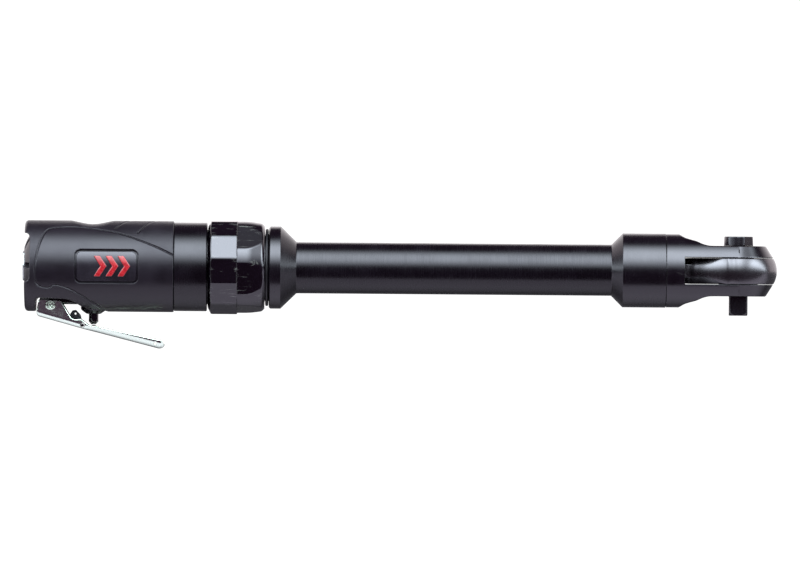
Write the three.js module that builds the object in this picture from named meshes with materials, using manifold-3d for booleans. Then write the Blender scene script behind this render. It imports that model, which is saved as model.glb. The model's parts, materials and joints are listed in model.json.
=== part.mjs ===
// Air ratchet with a long neck and a 3/8 inch square drive.
//
// Millimetres, +Z up. The origin is the middle of the square drive's end face. The tool's own axis runs
// along X at TOOL_AXIS_Z, with the head at +X and the air inlet at -X. Every sub-assembly is a group of
// its own whose origin lies on the tool axis, and its parts are drawn from there.

import * as THREE from "three";
import { mergeVertices } from "three/addons/utils/BufferGeometryUtils.js";
import Module from "manifold-3d";

const wasm = await Module();
wasm.setup();

// ---------------------------------------------------------------- driving dimensions

const GAP = 0.3; // running clearance between neighbours

// sides of a round surface
const SMOOTH = 36;
const ROUND = 24;
const SMALL = 14;
const TINY = 8;

// stations along the tool axis, measured from the anvil axis
const VALVE_X = -327.3; // throttle valve axis, origin of the handle
const MOTOR_X = -311.2; // rear face of the motor cylinder
const GEARBOX_X = -276.6; // rear face of the ring gear
const NECK_X = -238.4; // shoulder of the extension tube

// head and drive
const SQUARE_HALF = 9.525 / 2;
const SQUARE_END = 22.6; // drive end face, below the tool axis
const TOOL_AXIS_Z = SQUARE_END;
const JAW_FACE = 12.8;
const SLOT_HALF = 6.75;
const BAR_R = 18.8;
const FRONT_R = 17.7;
const JAW_TOP_R = 13.9;
const SLOT_END_X = -27.5;
const BELL_FACE_X = -37.1; // joint line between tube bell and head, from the anvil axis
const YOKE_HALF = 6.4;
const YOKE_R = 19.6;
const ANVIL_R = 10.0;
const ANVIL_TOP_R = 8.0;
const PAWL_R = 11.0;
const PAWL_PIN_Y = 7.4;
const PAWL_REST = THREE.MathUtils.degToRad(-5);
const SELECTOR_REST = THREE.MathUtils.degToRad(30);

// crank
const CRANK_THROW = 1.8;
const CRANK_PIN_R = 1.8;
const ROLLER_R = 3.4;
const FORK_HALF = 7.8;

// extension
const TUBE_R = 13.0;
const TUBE_BORE_R = 10.5;
const COLLAR_R = 20.9;
const CONE_START = 5.9;
const CONE_END = 14.0;
const BELL_CONE_START = 173.8;
const BELL_CONE_END = 179.6;
const BELL_END = BELL_FACE_X - NECK_X;
const SPIGOT_R = 17.0;
const SHAFT_R = 4.5;
const TONGUE = 5.9;
const SOCKET = 6.6;

// motor
const BORE_R = 17.2;
const CORE_R = BORE_R - GAP;
const CYLINDER_LENGTH = 28;
const CYLINDER_BORE_R = 13.2;
const CYLINDER_OFFSET = 1.0;
const ROTOR_R = 11.9;
const VANE_COUNT = 5;

// planetary gears
const MODULE = 0.7;
const SUN_TEETH = 12;
const PLANET_TEETH = 15;
const RING_TEETH = SUN_TEETH + 2 * PLANET_TEETH;
const PLANET_COUNT = 3;
const PLANET_ORBIT = (MODULE * (SUN_TEETH + PLANET_TEETH)) / 2;
const PLANET_PIN_R = 2.0;

// handle
const GRIP_R = 23.1;
const GRIP_BORE_R = 19.8;
const GRIP_REAR = -35.0;
const GRIP_FRONT = 40.4;
const SHELL_R = 19.5;
const SHELL_REAR = -27.3;
const SHELL_COLLAR_R = 22.5;
const SHELL_COLLAR = [GRIP_FRONT + GAP, 57.2];
const SHELL_FRONT = 71.3;
const THREAD_R = 18.9;
const LEVER_PIVOT = [-21.8, -19.8];
const LATCH_PIVOT = [-5.5, -30.0];
const SHEET = 1.6; // lever sheet thickness
const BUTTON_R = 2.5;
const INLET_R = 5.7;

// ---------------------------------------------------------------- geometry helpers

const X = new THREE.Vector3(1, 0, 0);
const Y = new THREE.Vector3(0, 1, 0);
const Z = new THREE.Vector3(0, 0, 1);
const yToX = new THREE.Matrix4().makeBasis(Z, X, Y);
const yToZ = new THREE.Matrix4().makeBasis(Y, Z, X);
const zToX = yToZ;

// A closed three.js geometry as a solid that can be joined and cut.
function solid(geometry) {
  geometry.deleteAttribute("normal");
  geometry.deleteAttribute("uv");
  const merged = mergeVertices(geometry, 1e-4);
  const index = merged.index.array;
  const triVerts = [];
  for (let i = 0; i < index.length; i += 3) {
    const [a, b, c] = [index[i], index[i + 1], index[i + 2]];
    if (a !== b && b !== c && c !== a) triVerts.push(a, b, c);
  }
  const vertProperties = merged.attributes.position.array;
  return new wasm.Manifold(
    new wasm.Mesh({ numProp: 3, vertProperties, triVerts: new Uint32Array(triVerts) }),
  );
}

function geometryOf(shape) {
  const mesh = shape.getMesh();
  const geometry = new THREE.BufferGeometry();
  const position = new THREE.BufferAttribute(new Float32Array(mesh.vertProperties), 3);
  geometry.setAttribute("position", position);
  geometry.setIndex(new THREE.BufferAttribute(new Uint32Array(mesh.triVerts), 1));
  const flat = geometry.toNonIndexed();
  flat.computeVertexNormals();
  return flat;
}

// Twice the signed area of a closed outline.
function area(points) {
  return points.reduce((sum, [x, y], i) => {
    const [u, v] = points[(i + 1) % points.length];
    return sum + x * v - u * y;
  }, 0);
}

function lathe(profile, segments) {
  const points = area(profile) < 0 ? [...profile].reverse() : [...profile];
  const touchesAxis = points.some(([r]) => r === 0);
  if (touchesAxis) {
    while (points[0][0] !== 0 || points[points.length - 1][0] !== 0) points.push(points.shift());
  } else {
    points.push(points[0]);
  }
  const vectors = points.map(([r, y]) => new THREE.Vector2(r, y));
  return new THREE.LatheGeometry(vectors, segments);
}

// Turned about the tool axis: profile points are [x, radius].
function turned(profile, segments = ROUND) {
  const flipped = profile.map(([x, r]) => [r, x]);
  return solid(lathe(flipped, segments).applyMatrix4(yToX));
}

// Turned about Z: profile points are [radius, z].
function spun(profile, segments = ROUND) {
  return solid(lathe(profile, segments).applyMatrix4(yToZ));
}

function ringX(inner, outer, x0, x1, segments = ROUND) {
  return turned([[x0, inner], [x1, inner], [x1, outer], [x0, outer]], segments);
}

function rodX(radius, x0, x1, segments = ROUND) {
  return turned([[x0, 0], [x0, radius], [x1, radius], [x1, 0]], segments);
}

function rodZ(radius, z0, z1, segments = ROUND) {
  return spun([[0, z0], [radius, z0], [radius, z1], [0, z1]], segments);
}

function rodY(radius, y0, y1, segments = SMALL) {
  const geometry = new THREE.CylinderGeometry(radius, radius, y1 - y0, segments);
  return solid(geometry.translate(0, (y0 + y1) / 2, 0));
}

function block(x0, x1, y0, y1, z0, z1) {
  const geometry = new THREE.BoxGeometry(x1 - x0, y1 - y0, z1 - z0);
  return solid(geometry.translate((x0 + x1) / 2, (y0 + y1) / 2, (z0 + z1) / 2));
}

function extruded(outline, depth) {
  const shape = new THREE.Shape(outline.map(([a, b]) => new THREE.Vector2(a, b)));
  return new THREE.ExtrudeGeometry(shape, { depth, bevelEnabled: false, steps: 1 });
}

// A side view outline of [x, z] points, given a width along Y.
function plate(outline, y0, y1) {
  return solid(extruded(outline, y1 - y0).rotateX(Math.PI / 2).translate(0, y1, 0));
}

// A plan outline of [x, y] points, given a height along Z.
function slab(outline, z0, z1) {
  return solid(extruded(outline, z1 - z0).translate(0, 0, z0));
}

// An end view outline of [y, z] points, given a length along X.
function wafer(outline, x0, x1) {
  return solid(extruded(outline, x1 - x0).applyMatrix4(zToX).translate(x0, 0, 0));
}

function moved(shape, x, y, z) {
  return shape.translate([x, y, z]);
}

function turnedAboutX(shape, degrees) {
  return shape.rotate([degrees, 0, 0]);
}

const polar = (radius, angle) => [radius * Math.cos(angle), radius * Math.sin(angle)];

function polygon(count, radius, start = 0) {
  return Array.from({ length: count }, (_, i) => polar(radius, start + (2 * Math.PI * i) / count));
}

function square(size) {
  const h = size / 2;
  return [[-h, -h], [h, -h], [h, h], [-h, h]];
}

// Outline of a spur gear with involute flanks and a tooth centred on angle 0. thin is taken off
// each flank at the pitch circle, and is negative for the spaces of an internal gear.
function gearOutline(teeth, tipR, rootR, thin) {
  const pitchR = (MODULE * teeth) / 2;
  const baseR = pitchR * Math.cos(Math.PI / 9);
  const involute = (r) => {
    const a = Math.acos(Math.min(1, baseR / r));
    return Math.tan(a) - a;
  };
  const pitchHalf = Math.PI / (2 * teeth) - thin / pitchR;
  const halfAngle = (r) => pitchHalf + involute(pitchR) - involute(Math.max(r, baseR));
  const radii = [rootR, tipR];
  const outline = [];
  for (let tooth = 0; tooth < teeth; tooth++) {
    const centre = (2 * Math.PI * tooth) / teeth;
    radii.forEach((r) => outline.push(polar(r, centre - halfAngle(r))));
    [...radii].reverse().forEach((r) => outline.push(polar(r, centre + halfAngle(r))));
  }
  return outline;
}

class Helix extends THREE.Curve {
  constructor(radius, length, turns) {
    super();
    Object.assign(this, { radius, length, turns });
  }
  getPoint(t, target = new THREE.Vector3()) {
    const [x, y] = polar(this.radius, 2 * Math.PI * this.turns * t);
    return target.set(x, y, this.length * t);
  }
}

// A coil spring along +Z from z = 0.
function spring(radius, wire, length, turns, sides = 4) {
  const section = new THREE.Shape(polygon(sides, wire).map(([a, b]) => new THREE.Vector2(a, b)));
  const extrudePath = new Helix(radius, length, turns);
  const options = { extrudePath, steps: turns * 7, bevelEnabled: false };
  return solid(new THREE.ExtrudeGeometry(section, options));
}

// ---------------------------------------------------------------- materials and assembly

const finish = (color, roughness, metalness) =>
  new THREE.MeshStandardMaterial({ color, roughness, metalness });

const blackSteel = () => finish(0x1d1720, 0.32, 0.9);
const gunBlack = () => finish(0x150f19, 0.18, 0.9);
const gripRubber = () => finish(0x2e2733, 0.62, 0.0);
const blackPlastic = () => finish(0x19151c, 0.5, 0.0);
const brightChrome = () => finish(0xe6e7e6, 0.12, 1.0);
const toolSteel = () => finish(0x8d8d90, 0.35, 1.0);
const castAlloy = () => finish(0xa9abad, 0.45, 1.0);
const bronze = () => finish(0x9a6f3c, 0.45, 1.0);
const redEnamel = () => finish(0xc2131d, 0.35, 0.0);
const blackRubber = () => finish(0x101012, 0.7, 0.0);
const greyFelt = () => finish(0x9b978d, 0.95, 0.0);
const vaneFibre = () => finish(0x5a3d2a, 0.7, 0.0);

const ratchet = new THREE.Group();
const tool = new THREE.Group();
tool.position.z = TOOL_AXIS_Z;
ratchet.add(tool);

function subAssembly(x) {
  const group = new THREE.Group();
  group.position.x = x;
  tool.add(group);
  return group;
}

function part(group, name, shape, material) {
  const mesh = new THREE.Mesh(geometryOf(shape), material);
  mesh.name = name;
  group.add(mesh);
  return mesh;
}

// ---------------------------------------------------------------- handle

const handle = subAssembly(VALVE_X);

// The motor housing: exhaust chamber at the back, solid valve block, then the motor bore.
function motorHousing() {
  const chamberFloor = -18.7;
  const boreStart = 9.5;
  let shape = turned(
    [
      [SHELL_REAR, 0],
      [SHELL_REAR, SHELL_R],
      [SHELL_COLLAR[0], SHELL_R],
      [SHELL_COLLAR[0], SHELL_COLLAR_R - 0.6],
      [SHELL_COLLAR[0] + 0.6, SHELL_COLLAR_R],
      [SHELL_COLLAR[1] - 0.6, SHELL_COLLAR_R],
      [SHELL_COLLAR[1], SHELL_COLLAR_R - 0.6],
      [SHELL_COLLAR[1], THREAD_R],
      [SHELL_FRONT, THREAD_R],
      [SHELL_FRONT, 0],
    ],
    SMOOTH,
  );
  const lug = block(-26.3, -17.3, -6, 6, -23.6, -14);
  const boss = spun([[0, -24.4], [3.4, -24.4], [5.6, -22.8], [6.6, -19.5], [6.6, -12], [0, -12]], 20);
  shape = shape.add(lug).add(boss);
  shape = shape.subtract(rodX(15.2, SHELL_REAR - 1, chamberFloor));
  shape = shape.subtract(rodX(BORE_R, boreStart, SHELL_FRONT + 1));
  shape = shape.subtract(rodX(8.9, chamberFloor - 1, -9.4, SMALL));
  shape = shape.subtract(rodX(4.0, -10, 0, SMALL));
  shape = shape.subtract(rodZ(4.2, -19.5, 21, SMALL));
  shape = shape.subtract(rodZ(BUTTON_R + GAP, -26, -19, SMALL));
  shape = shape.subtract(moved(rodX(1.8, 0, boreStart + 1, TINY), 0, 0, -12.6));
  for (const angle of [45, 135, 225, 315]) {
    const port = moved(rodX(2.0, chamberFloor - 1, boreStart + 1, TINY), 0, 12.5, 0);
    shape = shape.subtract(turnedAboutX(port, angle));
  }
  for (const side of [-1, 1]) {
    const ears = [6.1 * side, 9.8 * side].sort((a, b) => a - b);
    shape = shape.subtract(block(-30, -9, ears[0], ears[1], -27, -16.0));
  }
  const pinHole = moved(rodY(2.0, -9, 9), LEVER_PIVOT[0], 0, LEVER_PIVOT[1]);
  return shape.subtract(pinHole);
}

// Badge recess and emblem share one rounded outline on the side of the grip.
function badgeOutline(inset) {
  const [x0, x1, z0, z1] = [-9.3 + inset, 22.9 - inset, -8.7 + inset, 8.3 - inset];
  const radius = 3 - inset / 2;
  const corners = [
    [x1 - radius, z1 - radius, 0],
    [x0 + radius, z1 - radius, 1],
    [x0 + radius, z0 + radius, 2],
    [x1 - radius, z0 + radius, 3],
  ];
  return corners.flatMap(([cx, cz, quarter]) =>
    [0, 1, 2].map((i) => {
      const [dx, dz] = polar(radius, (Math.PI / 2) * (quarter + i / 2));
      return [cx + dx, cz + dz];
    }),
  );
}

// The grip: a sleeve with a scooped rear rim, a thumb dip on top and a pocket for the lever below.
function gripSleeve() {
  const dipR = 16.6;
  const dipDepth = 1.5;
  let shape = turned(
    [
      [GRIP_REAR, GRIP_BORE_R],
      [GRIP_REAR, GRIP_R - 2.0],
      [GRIP_REAR + 0.6, GRIP_R - 0.8],
      [GRIP_REAR + 2.0, GRIP_R],
      [GRIP_FRONT - 0.8, GRIP_R],
      [GRIP_FRONT, GRIP_R - 0.8],
      [GRIP_FRONT, GRIP_BORE_R],
    ],
    SMOOTH,
  );
  shape = shape.subtract(block(GRIP_REAR - 1, GRIP_REAR + 2.7, -30, 30, -8, 16.5));
  const pocket = [
    [-29.3, -28],
    [1.9, -28],
    [1.9, -23.2],
    [-6.1, -20.5],
    [-11.3, -17.3],
    [-16.3, -16.6],
    [-29.3, -16.2],
  ];
  shape = shape.subtract(plate(pocket, -30, 30));
  shape = shape.subtract(rodZ(7.0, -28, -15, SMALL));
  shape = shape.subtract(moved(rodY(dipR, -20, 20, SMOOTH), -0.7, 0, GRIP_R - dipDepth + dipR));
  const outside = ringX(21.7, 30, -15, 30, SMOOTH);
  const window = plate(badgeOutline(0), -40, 40);
  return shape.subtract(window.intersect(outside));
}

// The badge: a thin curved plate that carries three raised chevrons.
function badge(side) {
  const reach = side > 0 ? [0, 30] : [-30, 0];
  const base = plate(badgeOutline(1.0), ...reach).intersect(ringX(22.0, 22.35, -15, 30, SMOOTH));
  const arm = 3.4;
  const wide = 3.0;
  let shape = base;
  for (const x of [0.4, 6.4, 12.4]) {
    const chevron = [
      [x, -5.2],
      [x + wide, -5.2],
      [x + wide + arm, 0],
      [x + wide, 5.2],
      [x, 5.2],
      [x + arm, 0],
    ];
    shape = shape.add(plate(chevron, ...reach).intersect(ringX(22.1, 22.9, -15, 30, SMOOTH)));
  }
  return shape;
}

// The exhaust deflector: a slotted dome round the inlet.
function exhaustDeflector() {
  let shape = turned([
    [-35.6, 9.1],
    [-34.1, 13],
    [-32.0, 17],
    [-30.6, 19.2],
    [-29.4, 19.2],
    [-29.4, 16.6],
    [-31.4, 13],
    [-32.8, 9.1],
  ]);
  const slots = 6;
  for (let i = 0; i < slots; i++) {
    const slot = block(-40, -26, -1.4, 1.4, 10.4, 16.0);
    shape = shape.subtract(turnedAboutX(slot, (360 * i) / slots));
  }
  return shape;
}

function inletBushing() {
  const hex = wafer(polygon(6, 8.7), -36.1, -30);
  const body = rodX(8.6, -30, -9.7, 24);
  const bore = rodX(INLET_R, -40, -18.9, 24);
  const throat = rodX(4.0, -20, -5, SMALL);
  return hex.add(body).subtract(bore).subtract(throat);
}

function inletScreen() {
  let shape = rodX(INLET_R - GAP, -19.7, -19.2, SMALL);
  for (let i = 0; i < 6; i++) {
    shape = shape.subtract(turnedAboutX(moved(rodX(1.1, -21, -18, 8), 0, 3.2, 0), 60 * i));
  }
  return shape.subtract(rodX(1.1, -21, -18, 8));
}

// Height of the lever's underside at x.
function leverUnderside(x) {
  return x < -4.9 ? -32.0 - 0.2759 * (x + 4.9) : -32.0 - 0.2532 * (x + 4.9);
}

// The throttle lever: a channel pressed from sheet, with two ears on the pivot pin, a narrower arm,
// a slot for the latch and a pip under the button.
function throttleLever() {
  const side = [
    [-28.1, -25.6],
    [-4.9, -32.0],
    [33.8, leverUnderside(33.8)],
    [35.9, -40.9],
    [36.3, -39.4],
    [35.1, -37.4],
    [0, -30.3],
    [-2.3, -29.9],
    [-6.2, -26.8],
    [-9.3, -26.9],
    [-11.1, -26.4],
    [-16.5, -17.5],
    [-27.7, -16.7],
    [-28.9, -22.8],
  ];
  const plan = [[-30, -8], [-4, -8], [2, -5.5], [34.3, -5.5], [36.6, -3.6]];
  const inner = [[-32, -6.4], [-4.6, -6.4], [1.4, -3.9], [34.2, -3.9]];
  const bothSides = (half) => [...half, ...[...half].reverse().map(([x, y]) => [x, -y])];
  const webTop = [-32, -4.9, 34.2].map((x) => [x, leverUnderside(x) + SHEET]);
  const hollow = plate([...webTop, [34.2, -8], [-32, -8]], -10, 10);
  let shape = plate(side, -10, 10).intersect(slab(bothSides(plan), -50, 0));
  shape = shape.subtract(hollow.intersect(slab(bothSides(inner), -50, 0)));
  shape = shape.add(spun([[0, -32.4], [2.8, -32.4], [2.8, -31.4], [1.5, -30.0], [0, -30.0]], SMALL));
  shape = shape.subtract(block(-15, -3.2, -3.4, 3.4, -40, -20));
  shape = shape.subtract(moved(rodY(1.9, -10, 10), LEVER_PIVOT[0], 0, LEVER_PIVOT[1]));
  shape = shape.subtract(moved(rodY(1.1, -10, 10, TINY), LATCH_PIVOT[0], 0, LATCH_PIVOT[1]));
  return shape.subtract(moved(rodY(0.8, -10, 10, 8), 31.5, 0, -39.0));
}

function leverPin() {
  const shank = rodY(1.6, -8.6, 8.6);
  const head = rodY(2.6, -9.4, -8.4);
  const rivet = rodY(2.3, 8.4, 9.2);
  return moved(shank.add(head).add(rivet), LEVER_PIVOT[0], 0, LEVER_PIVOT[1]);
}

function leverLatch() {
  const blade = [
    [-10.1, -22.0],
    [-11.5, -24.3],
    [-11.3, -25.9],
    [-9.2, -28.6],
    [-6.8, -31.4],
    [-4.2, -29.4],
    [-7.2, -26.9],
    [-6.9, -25.2],
    [-9.1, -21.8],
  ];
  const hub = moved(rodY(1.7, -2.9, 2.9), LATCH_PIVOT[0], 0, LATCH_PIVOT[1]);
  let shape = plate(blade, -2.9, 2.9).add(hub);
  shape = shape.subtract(moved(rodY(1.1, -5, 5, TINY), LATCH_PIVOT[0], 0, LATCH_PIVOT[1]));
  return shape.subtract(moved(rodY(0.9, -5, 5, TINY), -9.4, 0, -24.0));
}

function throttleButton() {
  return spun(
    [
      [0, -29.6],
      [1.0, -29.5],
      [BUTTON_R, -27.9],
      [BUTTON_R, -19.2],
      [3.8, -19.2],
      [3.8, -17.9],
      [1.3, -17.9],
      [1.3, -9.4],
      [0, -9.4],
    ],
    SMALL,
  );
}

function throttleValve() {
  const profile = [[0, -9.1], [1.2, -9.1], [1.2, -7.4], [3.3, -7.4], [3.3, -5.4]];
  return spun([...profile, [1.0, -5.4], [1.0, -1.0], [0, -1.0]], SMALL);
}

part(handle, "inlet_bushing", inletBushing(), toolSteel());
part(handle, "inlet_screen", inletScreen(), toolSteel());
part(handle, "exhaust_deflector", exhaustDeflector(), blackPlastic());
part(handle, "muffler_felt", ringX(9.2, 14.9, -27.0, -19.2), greyFelt());
part(handle, "motor_housing", motorHousing(), blackSteel());
part(handle, "grip_sleeve", gripSleeve(), gripRubber());
part(handle, "badge_right", badge(-1), redEnamel());
part(handle, "badge_left", badge(1), redEnamel());
part(handle, "throttle_lever", throttleLever(), brightChrome());
part(handle, "lever_pin", leverPin(), brightChrome());
part(handle, "lever_latch", leverLatch(), blackPlastic());
const latchPin = part(handle, "latch_pin", rodY(0.8, -8.2, 8.2, TINY), toolSteel());
latchPin.position.set(LATCH_PIVOT[0], 0, LATCH_PIVOT[1]);
part(handle, "throttle_button", throttleButton(), gunBlack());
part(handle, "throttle_valve", throttleValve(), toolSteel());
const seatProfile = [[1.8, -9.7], [3.9, -9.7], [3.9, -7.7], [1.8, -7.7]];
part(handle, "valve_seat", spun(seatProfile, SMALL), bronze());
const valveSpring = part(handle, "valve_spring", spring(2.3, 0.35, 13.2, 5), toolSteel());
valveSpring.position.z = -4.7;
part(handle, "valve_plug", rodZ(3.9, 9.3, 18.9, SMALL).subtract(rodZ(1.6, 16, 20, 6)), toolSteel());

// ---------------------------------------------------------------- motor

const motor = subAssembly(MOTOR_X);
const SHAFT_END = 48.0;
const DOWEL_Y = 15.05;

function bearingCage(radius, ball, count, x0, x1) {
  const middle = (x0 + x1) / 2;
  let shape = ringX(radius - 0.35, radius + 0.35, middle - 0.7, middle + 0.7, SMALL);
  for (let i = 0; i < count; i++) {
    const sphere = solid(new THREE.SphereGeometry(ball, 6, 4));
    shape = shape.add(turnedAboutX(moved(sphere, middle, radius, 0), (360 * i) / count));
  }
  return shape;
}

function rearEndPlate() {
  const disc = ringX(3.6, CORE_R, -6.3, -0.3);
  const pocket = rodX(9.8, -7, -2.2);
  const port = moved(rodX(1.8, -7, 1, TINY), 0, 0, -12.6);
  const dowelHole = moved(rodX(1.1, -2.2, 1, TINY), 0, DOWEL_Y, 0);
  return disc.subtract(pocket).subtract(port).subtract(dowelHole);
}

function frontEndPlate() {
  const disc = ringX(5.4, CORE_R, CYLINDER_LENGTH + 0.3, CYLINDER_LENGTH + 6.3);
  return disc.subtract(rodX(11.3, CYLINDER_LENGTH + 2.2, CYLINDER_LENGTH + 7));
}

// The cylinder: its bore is off centre, so the vanes sweep a crescent.
function motorCylinder() {
  const bore = moved(rodX(CYLINDER_BORE_R, -1, CYLINDER_LENGTH + 1, SMOOTH), 0, 0, CYLINDER_OFFSET);
  const dowelHole = moved(rodX(1.1, -1, 4, TINY), 0, DOWEL_Y, 0);
  let shape = rodX(CORE_R, 0, CYLINDER_LENGTH).subtract(bore).subtract(dowelHole);
  for (const x of [6, 14, 22]) {
    shape = shape.subtract(moved(rodZ(1.6, 10, 20, TINY), x, 0, 0));
  }
  return shape;
}

function rotorBody() {
  const profile = [
    [-6.4, 0],
    [-6.4, 2.7],
    [0.3, 2.7],
    [0.3, ROTOR_R],
    [CYLINDER_LENGTH - 0.3, ROTOR_R],
    [CYLINDER_LENGTH - 0.3, 4.8],
    [CYLINDER_LENGTH + 7.4, 4.8],
    [CYLINDER_LENGTH + 7.4, 3.2],
    [SHAFT_END, 3.2],
    [SHAFT_END, 0],
  ];
  const sunR = (MODULE * SUN_TEETH) / 2;
  const pinion = wafer(gearOutline(SUN_TEETH, sunR + 0.55, sunR - 0.75, 0.12), 36, SHAFT_END);
  let shape = turned(profile).add(pinion);
  for (let i = 0; i < VANE_COUNT; i++) {
    const slot = block(0, CYLINDER_LENGTH, -1.05, 1.05, 5.5, 14);
    shape = shape.subtract(turnedAboutX(slot, (360 * i) / VANE_COUNT));
  }
  return shape;
}

part(motor, "rear_end_plate", rearEndPlate(), castAlloy());
part(motor, "rear_bearing_outer", ringX(7.9, 9.5, -6.1, -2.5, 24), toolSteel());
part(motor, "rear_bearing_cage", bearingCage(6.3, 1.3, 6, -6.1, -2.5), bronze());
part(motor, "rear_bearing_inner", ringX(3.0, 4.7, -6.1, -2.5, 20), toolSteel());
part(motor, "motor_cylinder", motorCylinder(), toolSteel());
const dowel = part(motor, "cylinder_dowel", rodX(0.8, -1.9, 3.7, TINY), toolSteel());
dowel.position.y = DOWEL_Y;
part(motor, "rotor", rotorBody(), toolSteel());
for (let i = 0; i < VANE_COUNT; i++) {
  const blade = block(0.6, CYLINDER_LENGTH - 0.6, -0.75, 0.75, 5.9, ROTOR_R - 0.15);
  const vane = part(motor, `vane_${i + 1}`, blade, vaneFibre());
  vane.rotation.x = (2 * Math.PI * i) / VANE_COUNT;
}
const FRONT_RACE = [CYLINDER_LENGTH + 2.5, CYLINDER_LENGTH + 6.0];
part(motor, "front_end_plate", frontEndPlate(), castAlloy());
part(motor, "front_bearing_outer", ringX(9.4, 11.0, ...FRONT_RACE), toolSteel());
part(motor, "front_bearing_cage", bearingCage(8.0, 1.1, 7, ...FRONT_RACE), bronze());
part(motor, "front_bearing_inner", ringX(5.1, 6.6, ...FRONT_RACE, 20), toolSteel());

// ---------------------------------------------------------------- planetary gears

const gearbox = subAssembly(GEARBOX_X);
const RING_LENGTH = 13.4;

function ringGear() {
  const pitchR = (MODULE * RING_TEETH) / 2;
  const spaces = gearOutline(RING_TEETH, pitchR + 0.9, pitchR - 0.45, -0.2);
  return rodX(CORE_R, 0, RING_LENGTH).subtract(wafer(spaces, -1, RING_LENGTH + 1));
}

function planetGear() {
  const pitchR = (MODULE * PLANET_TEETH) / 2;
  const teeth = gearOutline(PLANET_TEETH, pitchR + 0.55, pitchR - 0.75, 0.12);
  const body = wafer(teeth, 0.8, RING_LENGTH - 0.6);
  return body.subtract(rodX(PLANET_PIN_R + GAP, 0, RING_LENGTH, SMALL));
}

// The carrier: a disc with three planet pins behind it and the output journal in front.
function gearCarrier() {
  const discFace = RING_LENGTH + 0.4;
  let shape = rodX(13.5, discFace, discFace + 3.6).add(rodX(6.0, discFace + 3, 36.2, 24));
  for (let i = 0; i < PLANET_COUNT; i++) {
    const pin = moved(rodX(PLANET_PIN_R, 1.0, discFace + 1, SMALL), 0, PLANET_ORBIT, 0);
    shape = shape.add(turnedAboutX(pin, (360 * i) / PLANET_COUNT));
  }
  return shape.subtract(wafer(square(SOCKET), 25.4, 40));
}

part(gearbox, "ring_gear", ringGear(), toolSteel());
for (let i = 0; i < PLANET_COUNT; i++) {
  const angle = (2 * Math.PI * i) / PLANET_COUNT;
  const planet = part(gearbox, `planet_gear_${i + 1}`, planetGear(), toolSteel());
  const [y, z] = polar(PLANET_ORBIT, angle);
  planet.position.set(0, y, z);
  planet.rotation.x = angle;
}
part(gearbox, "gear_carrier", gearCarrier(), toolSteel());
part(gearbox, "carrier_bushing", ringX(6.3, 10.2, 27.8, 35.8, 24), bronze());

// ---------------------------------------------------------------- clamp nut and extension

const extension = subAssembly(NECK_X);

// The clamp nut: twelve sides behind, a round band with six wrench flats in front.
function clampNut() {
  const rear = -31.0;
  const step = -16.0;
  const front = -2.1;
  const seen = (angle) => Math.PI - THREE.MathUtils.degToRad(angle);
  const envelope = turned(
    [
      [rear, 0],
      [rear, 20.6],
      [rear + 1.9, 24.4],
      [step, 24.4],
      [step, 23.4],
      [-10.1, 23.4],
      [-3.4, 22.5],
      [front, 21.2],
      [front, 0],
    ],
    48,
  );
  const twelve = wafer(polygon(12, 24.4, seen(11)), rear - 1, step);
  const flatR = 21.9 / Math.cos(Math.PI / 6);
  const six = wafer(polygon(6, flatR, seen(-16 + 30)), step, front + 1);
  const outside = envelope.intersect(twelve.add(six));
  return outside.subtract(rodX(19.2, rear - 1, -7.7)).subtract(rodX(17.3, -10, 0));
}

// An open ring: gap is the width of its slot.
function openRingX(inner, outer, x0, x1, gap) {
  return ringX(inner, outer, x0, x1).subtract(block(x0 - 1, x1 + 1, 0, 30, -gap / 2, gap / 2));
}

function extensionTube() {
  return turned([
    [-12.0, TUBE_BORE_R],
    [-12.0, SPIGOT_R - 0.6],
    [-11.4, SPIGOT_R],
    [-10.1, SPIGOT_R],
    [-10.1, 15.8],
    [-7.7, 15.8],
    [-7.7, SPIGOT_R],
    [0, SPIGOT_R],
    [0, COLLAR_R - 0.7],
    [0.7, COLLAR_R],
    [CONE_START, COLLAR_R],
    [CONE_END, TUBE_R],
    [BELL_CONE_START, TUBE_R],
    [BELL_CONE_END, BAR_R],
    [BELL_END, BAR_R],
    [BELL_END, 15.8],
    [181.0, 15.8],
    [181.0, TUBE_BORE_R],
  ]);
}

function extensionShaft() {
  const barEnd = 182.6;
  const bar = rodX(SHAFT_R, -1.5, barEnd, 20);
  const tongues = wafer(square(TONGUE), -12.5, 194.0);
  return bar.add(tongues);
}

part(extension, "clamp_nut", clampNut(), gunBlack());
part(extension, "nut_retaining_ring", openRingX(16.1, 18.9, -9.8, -8.0, 5), toolSteel());
const oRing = [[-1.8, 17.4], [-1.8, 19.1], [-1.4, 19.6], [-0.7, 19.6], [-0.3, 19.1], [-0.3, 17.4]];
part(extension, "nut_o_ring", turned(oRing), blackRubber());
part(extension, "extension_tube", extensionTube(), blackSteel());
part(extension, "extension_shaft", extensionShaft(), toolSteel());
part(extension, "rear_shaft_bushing", ringX(4.8, 10.2, 13.4, 23.4, 20), bronze());
part(extension, "front_shaft_bushing", ringX(4.8, 10.2, 162.4, 172.4, 20), bronze());

// ---------------------------------------------------------------- head

const head = subAssembly(0);

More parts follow.
